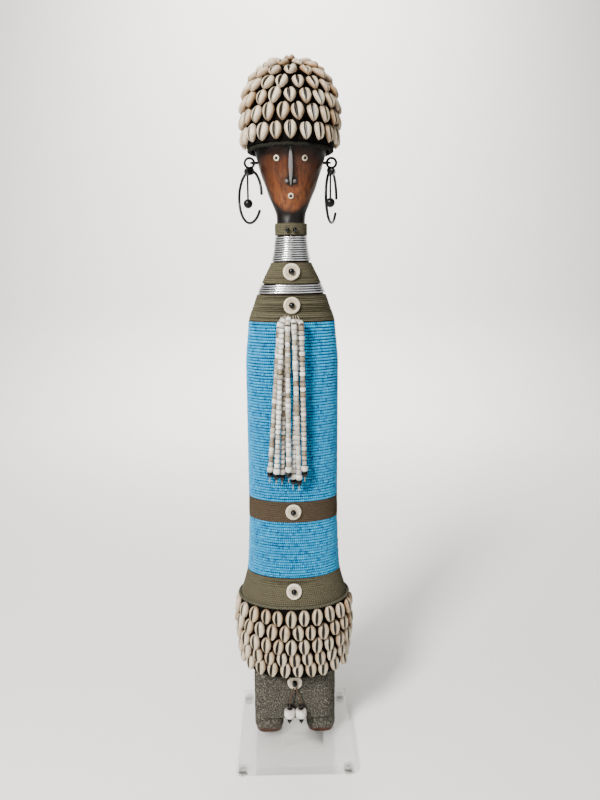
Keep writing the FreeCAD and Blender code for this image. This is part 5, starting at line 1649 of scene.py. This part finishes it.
@dataclass
class Palette:
    """Every finish by name; materials are made when first used."""

    effects: Effects = field(default_factory=Effects)
    made: dict[str, bpy.types.Material] = field(default_factory=dict)

    FINISHES = {
        "olive_twine": TwineFinish("olive_twine", (0.088, 0.077, 0.046), (0.026, 0.022, 0.013),
                                   (0.26, 0.235, 0.155), 0.85, 0.6, 0.0002, 0.08),
        "brown_twine": TwineFinish("brown_twine", (0.064, 0.046, 0.028), (0.020, 0.013, 0.008),
                                   (0.20, 0.155, 0.100), 0.85, 0.6, 0.0002, 0.08),
        "leg_twine": TwineFinish("grey_twine", (0.038, 0.036, 0.029), (0.008, 0.007, 0.006),
                                 (0.34, 0.32, 0.26), 0.9, 0.8, 0.0003, 0.06, speckle=0.48),
        "braid": TwineFinish("olive_twine", (0.085, 0.078, 0.052), (0.024, 0.022, 0.014),
                             (0.22, 0.21, 0.15), 0.85, 0.5, 0.0002, 0.08),
        "dark_braid": TwineFinish("olive_twine", (0.014, 0.014, 0.011), (0.005, 0.005, 0.004),
                                  (0.060, 0.060, 0.046), 0.85, 0.4, 0.0002, 0.05),
        "blue_beads": SeedBeadFinish("blue_beads", (0.000, 0.245, 0.490), (0.000, 0.115, 0.280),
                                     (0.010, 0.340, 0.580), 0.24, 0.10, 0.0001),
        # Painted shade: the near-black blue of the spaces between the beads.
        "bead_ground": GlossFinish("blue_beads", (0.002, 0.008, 0.016), (0.004, 0.012, 0.02), roughness=0.85,
                                   relief=0.3, specular=0.03, coat=0.0),
        "lining": StainedFinish("black_lining", (0.004, 0.0035, 0.003), (0.010, 0.008, 0.006),
                                (0.005, 0.005, 0.005), 0.92, 0.6, 0.0004, 0.03, coat=0.0),
        "cowrie": ShellFinish("cowrie", (0.53, 0.42, 0.275), (0.19, 0.098, 0.040), (0.003, 0.002, 0.0015),
                              0.30, 0.25, 0.0002, 0.25),
        "bone": StainedFinish("bone", (0.66, 0.59, 0.46), (0.15, 0.09, 0.045), (0.56, 0.48, 0.35),
                              0.38, 0.2, 0.0002, coat=0.1),
        "chalk": StainedFinish("chalk_beads", (0.80, 0.78, 0.72), (0.060, 0.036, 0.020),
                               (0.235, 0.185, 0.120),
                               0.5, 0.4, 0.0002, stain_size=230.0, stain=0.85, coat=0.05),
        "black_glass": GlossFinish("black_glass", (0.001, 0.001, 0.0012), (0.003, 0.0025, 0.002),
                                   roughness=0.10, relief=0.03, coat=0.0),
        "black_wire": GlossFinish("black_wire", (0.0015, 0.0015, 0.0015), (0.006, 0.005, 0.004),
                                  roughness=0.30, relief=0.1, specular=0.2, coat=0.0),
        "thread": GlossFinish("thread", (0.26, 0.215, 0.155), (0.10, 0.075, 0.05), roughness=0.85,
                              relief=0.6, specular=0.1, coat=0.0),
        "thong": GlossFinish("thong", (0.060, 0.036, 0.022), (0.11, 0.075, 0.050), roughness=0.6,
                             relief=0.5, specular=0.15, coat=0.0),
        "wire": MetalFinish("aluminium_wire", (0.76, 0.76, 0.77), (0.42, 0.41, 0.40), roughness=0.22,
                            relief=0.02, depth=0.00005, gap=1.0),
        "steel": MetalFinish("steel", (0.62, 0.61, 0.59), (0.36, 0.33, 0.30), roughness=0.3,
                             relief=0.1, depth=0.0001),
        "wood": WoodFinish("carved_wood", (0.105, 0.030, 0.009), (0.026, 0.008, 0.0035),
                           (0.0035, 0.0018, 0.0013), 0.34, 0.22, 0.0002, 0.22),
        "paper": StainedFinish("paper", (0.74, 0.73, 0.70), (0.50, 0.46, 0.38), (0.70, 0.69, 0.66),
                               0.8, 0.1, 0.0001, stain=0.3, coat=0.0),
        "rubber": GlossFinish("acrylic", (0.42, 0.43, 0.42), (0.55, 0.55, 0.53), roughness=0.45,
                              relief=0.1, coat=0.1),
        "acrylic": ClearFinish("acrylic", (0.97, 0.985, 0.98), (0.90, 0.92, 0.92), roughness=0.03),
        # Black, with a grey painted reflection as second colour and worn pink wood as third.
        "nose": WornFinish("carved_wood", (0.003, 0.0025, 0.0025), (0.135, 0.125, 0.125),
                           (0.24, 0.085, 0.045),
                           0.32, 0.15, 0.0002, 0.2),
    }

    def material(self, finish: str) -> bpy.types.Material:
        """The material of a finish, made once."""
        if finish not in self.made:
            self.made[finish] = self.FINISHES[finish].build(finish, self.effects)
        return self.made[finish]

    def place(self, piece: bpy.types.Object, finish: str, *nodes: str) -> None:
        """Let a piece stand for CAD nodes and on their body."""
        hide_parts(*nodes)
        body = body_of(frame["nodes"][nodes[0]])
        if body:
            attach(piece, body[0])

    def dress(self, shape: Shape, name: str, finish: str, *nodes: str) -> bpy.types.Object:
        """Make a piece from a shape, with a finish, in place of CAD nodes."""
        piece = shape.make(name, self.material(finish))
        self.place(piece, finish, *nodes)
        return piece

    def keep(self, node: str, finish: str) -> None:
        """Give a hard CAD node that stays shown its finish."""
        data = frame["nodes"][node].data
        data.materials.clear()
        data.materials.append(self.material(finish))


@dataclass
class Stand:
    """The clear base with its feet and screws, hard CAD nodes that stay shown, and its label as a paper sticker.
    """

    def build(self, palette: Palette) -> None:
        """Give every part of the base its finish and put a paper sticker in place of the label."""
        for node, finish in (("base_plate", "acrylic"), ("base_bumpers", "rubber"),
                             ("base_screws", "steel")):
            palette.keep(node, finish)
        points = node_points("base_label")
        middle = (points.min(0) + points.max(0)) / 2
        turn = (np.arange(40) + 0.5) / 40 * TAU
        corner, half = 3.0 * MM, np.array([22.0, 13.0]) * MM - 3.0 * MM
        loop = np.stack([np.cos(turn), np.sin(turn)], -1)
        loop = np.sign(loop) * half + loop * corner
        lean = math.radians(4.0)
        x = loop[:, 0] * math.cos(lean) - loop[:, 1] * math.sin(lean) + middle[0]
        y = loop[:, 0] * math.sin(lean) + loop[:, 1] * math.cos(lean) + middle[1]
        levels = np.array([2.70, 2.70, 2.85, 2.85]) * MM
        sheet = np.stack([np.repeat(x[:, None], 4, 1), np.repeat(y[:, None], 4, 1),
                          np.broadcast_to(levels, (40, 4))], -1)
        sheet[:, 0], sheet[:, -1] = sheet[:, 0].mean(0), sheet[:, -1].mean(0)
        palette.dress(Shape.capped(sheet), "base_sticker", "paper", "base_label")


@dataclass
class Jewellery:
    """The ear wires, hoops and pendants: hard CAD nodes that stay shown, in black wire."""

    def build(self, palette: Palette) -> None:
        """Give every wire and ball its finish."""
        palette.keep("ear_staples", "black_wire")
        for side in Side:
            for word in ("ear_ring", "hoop", "pendant_stem"):
                palette.keep(f"{side.word}_{word}", "black_wire")
            palette.keep(f"{side.word}_pendant_ball", "black_wire")


@dataclass
class Studio:
    """Floor and wall in one pale sweep, soft lights, and the camera."""

    eye: tuple[float, float, float] = (-0.0039, -0.6372, 0.5339)
    yaw: float = 1.060
    pitch: float = 11.949
    roll: float = -0.322
    lens: float = 28.23

    def sweep(self) -> bpy.types.Object:
        """A floor that turns up into a wall through a quarter circle, swept along X."""
        bend = np.linspace(0, math.pi / 2, 16)
        depth = np.concatenate([[-3.0], 1.30 + 0.40 * np.sin(bend), [1.70]])
        level = np.concatenate([[0.0], 0.40 * (1 - np.cos(bend)), [3.0]])
        across = np.linspace(-3.0, 3.0, 9)
        points = np.stack([np.broadcast_to(across[:, None], (9, len(depth))),
                           np.broadcast_to(depth, (9, len(depth))),
                           np.broadcast_to(level, (9, len(depth)))], -1)
        material = bpy.data.materials.new("sweep")
        material.use_nodes = True
        tools = Tree(material.node_tree)
        shader = material.node_tree.nodes["Principled BSDF"]
        fine = tools.noise(tools.place(), 240.0, 4.0)
        tools.tree.links.new(tools.mix(fine, (0.88, 0.865, 0.835), (0.93, 0.915, 0.885)),
                             shader.inputs["Base Color"])
        bump = tools.add("Bump", Strength=0.12, Distance=0.001, Height=fine)
        tools.tree.links.new(bump.outputs["Normal"], shader.inputs["Normal"])
        shader.inputs["Roughness"].default_value = 0.75
        return Shape.grid(points, False, False).make("sweep", material)

    def light(self, name: str, place: tuple[float, float, float], size: float, power: float,
              color: tuple[float, float, float], spread: float = 180.0,
              target: tuple[float, float, float] = (0.0, 0.0, 0.36)) -> bpy.types.Object:
        """A square area light turned towards the doll's middle or another target."""
        data = bpy.data.lights.new(name, "AREA")
        data.size, data.energy, data.color, data.spread = size, power, color, math.radians(spread)
        lamp = bpy.data.objects.new(name, data)
        lamp.location = place
        lamp.rotation_euler = (Vector(target) - Vector(place)).to_track_quat("-Z", "Y").to_euler()
        bpy.context.scene.collection.objects.link(lamp)
        return lamp

    def camera(self) -> bpy.types.Object:
        """The camera at the view that the doll was drawn from."""
        yaw, pitch, roll = (math.radians(v) for v in (self.yaw, self.pitch, self.roll))
        forward = Vector((math.sin(yaw) * math.cos(pitch), math.cos(yaw) * math.cos(pitch), -math.sin(pitch)))
        right = Vector((math.cos(yaw), -math.sin(yaw), 0))
        up = right.cross(forward)
        across = right * math.cos(roll) + up * math.sin(roll)
        upright = across.cross(forward)
        rotation = Matrix((across, upright, -forward)).transposed().to_4x4()
        data = bpy.data.cameras.new("camera")
        data.lens, data.sensor_width, data.clip_start = self.lens, 36.0, 0.01
        camera = bpy.data.objects.new("camera", data)
        camera.matrix_world = Matrix.Translation(self.eye) @ rotation
        bpy.context.scene.collection.objects.link(camera)
        return camera

    def build(self) -> None:
        """Build the set; none of it belongs to the doll."""
        sweep = self.sweep()
        lamps = [self.light("key", (-0.62, -0.95, 1.20), 0.30, 50.0, (1.0, 0.985, 0.955)),
                 self.light("fill", (1.2, -1.1, 0.65), 1.2, 3.5, (0.94, 0.97, 1.0)),
                 self.light("top", (-0.15, -0.25, 1.7), 0.6, 11.0, (1.0, 0.985, 0.96)),
                 self.light("wall", (0.0, 0.75, 2.6), 1.2, 42.0, (1.0, 0.99, 0.97), 75.0, (0.0, 1.70, 0.9))]
        world = bpy.data.worlds.new("room")
        world.use_nodes = True
        background = world.node_tree.nodes["Background"]
        background.inputs["Color"].default_value = (0.90, 0.92, 0.95, 1.0)
        background.inputs["Strength"].default_value = 0.22
        bpy.context.scene.world = world
        camera = self.camera()
        bpy.context.scene.camera = camera


def main() -> None:
    """Build the doll from the ground up, then the set."""
    palette = Palette()
    outline = Outline()
    LOG.info("outline: %s", np.round(outline.table / MM, 1).tolist())
    Stand().build(palette)
    Carving(outline).build(palette)
    for side in Side:
        LegTwine(f"{side.word}_leg_twine", 11 * MM, count=128).build(palette)
    LegTwine("leg_block_twine", 16 * MM, count=240, top_round=0.6).build(palette)
    Skirt(outline).build(palette)
    TwineWrap("flared_belt", "olive_twine").build(outline, palette)
    RimCord("belt_rim_cord", 3.0 * MM, "braid").build(palette)
    lower = BeadWrap("lower_bead_wrap", seed=5)
    lower.ground(outline, palette)
    lower.build(outline, palette)
    TwineWrap("waist_band", "brown_twine").build(outline, palette)
    upper = BeadWrap("upper_bead_wrap", seed=9)
    upper.ground(outline, palette)
    BeadWrap("upper_bead_wrap", 0.0, 0.5, seed=9).build(outline, palette, 1)
    BeadWrap("upper_bead_wrap", 0.5, 1.0, seed=9).build(outline, palette, 2)
    TwineWrap("shoulder_twine", "olive_twine").build(outline, palette)
    WireCoil("lower_neck_rings").build(palette)
    TwineWrap("chest_twine", "olive_twine").build(outline, palette)
    WireCoil("upper_neck_rings").build(palette)
    TwineWrap("collar_twine", "olive_twine", pitch=1.6 * MM).build(outline, palette)
    Cap().build(palette)
    RimCord("cap_rim_cord", 4.0 * MM, "dark_braid").build(palette)
    Discs().build(palette)
    Face().build(palette)
    Jewellery().build(palette)
    Fringe().build(palette)
    Tassels().build(palette)
    Studio().build()


if __name__ == "__main__":
    main()
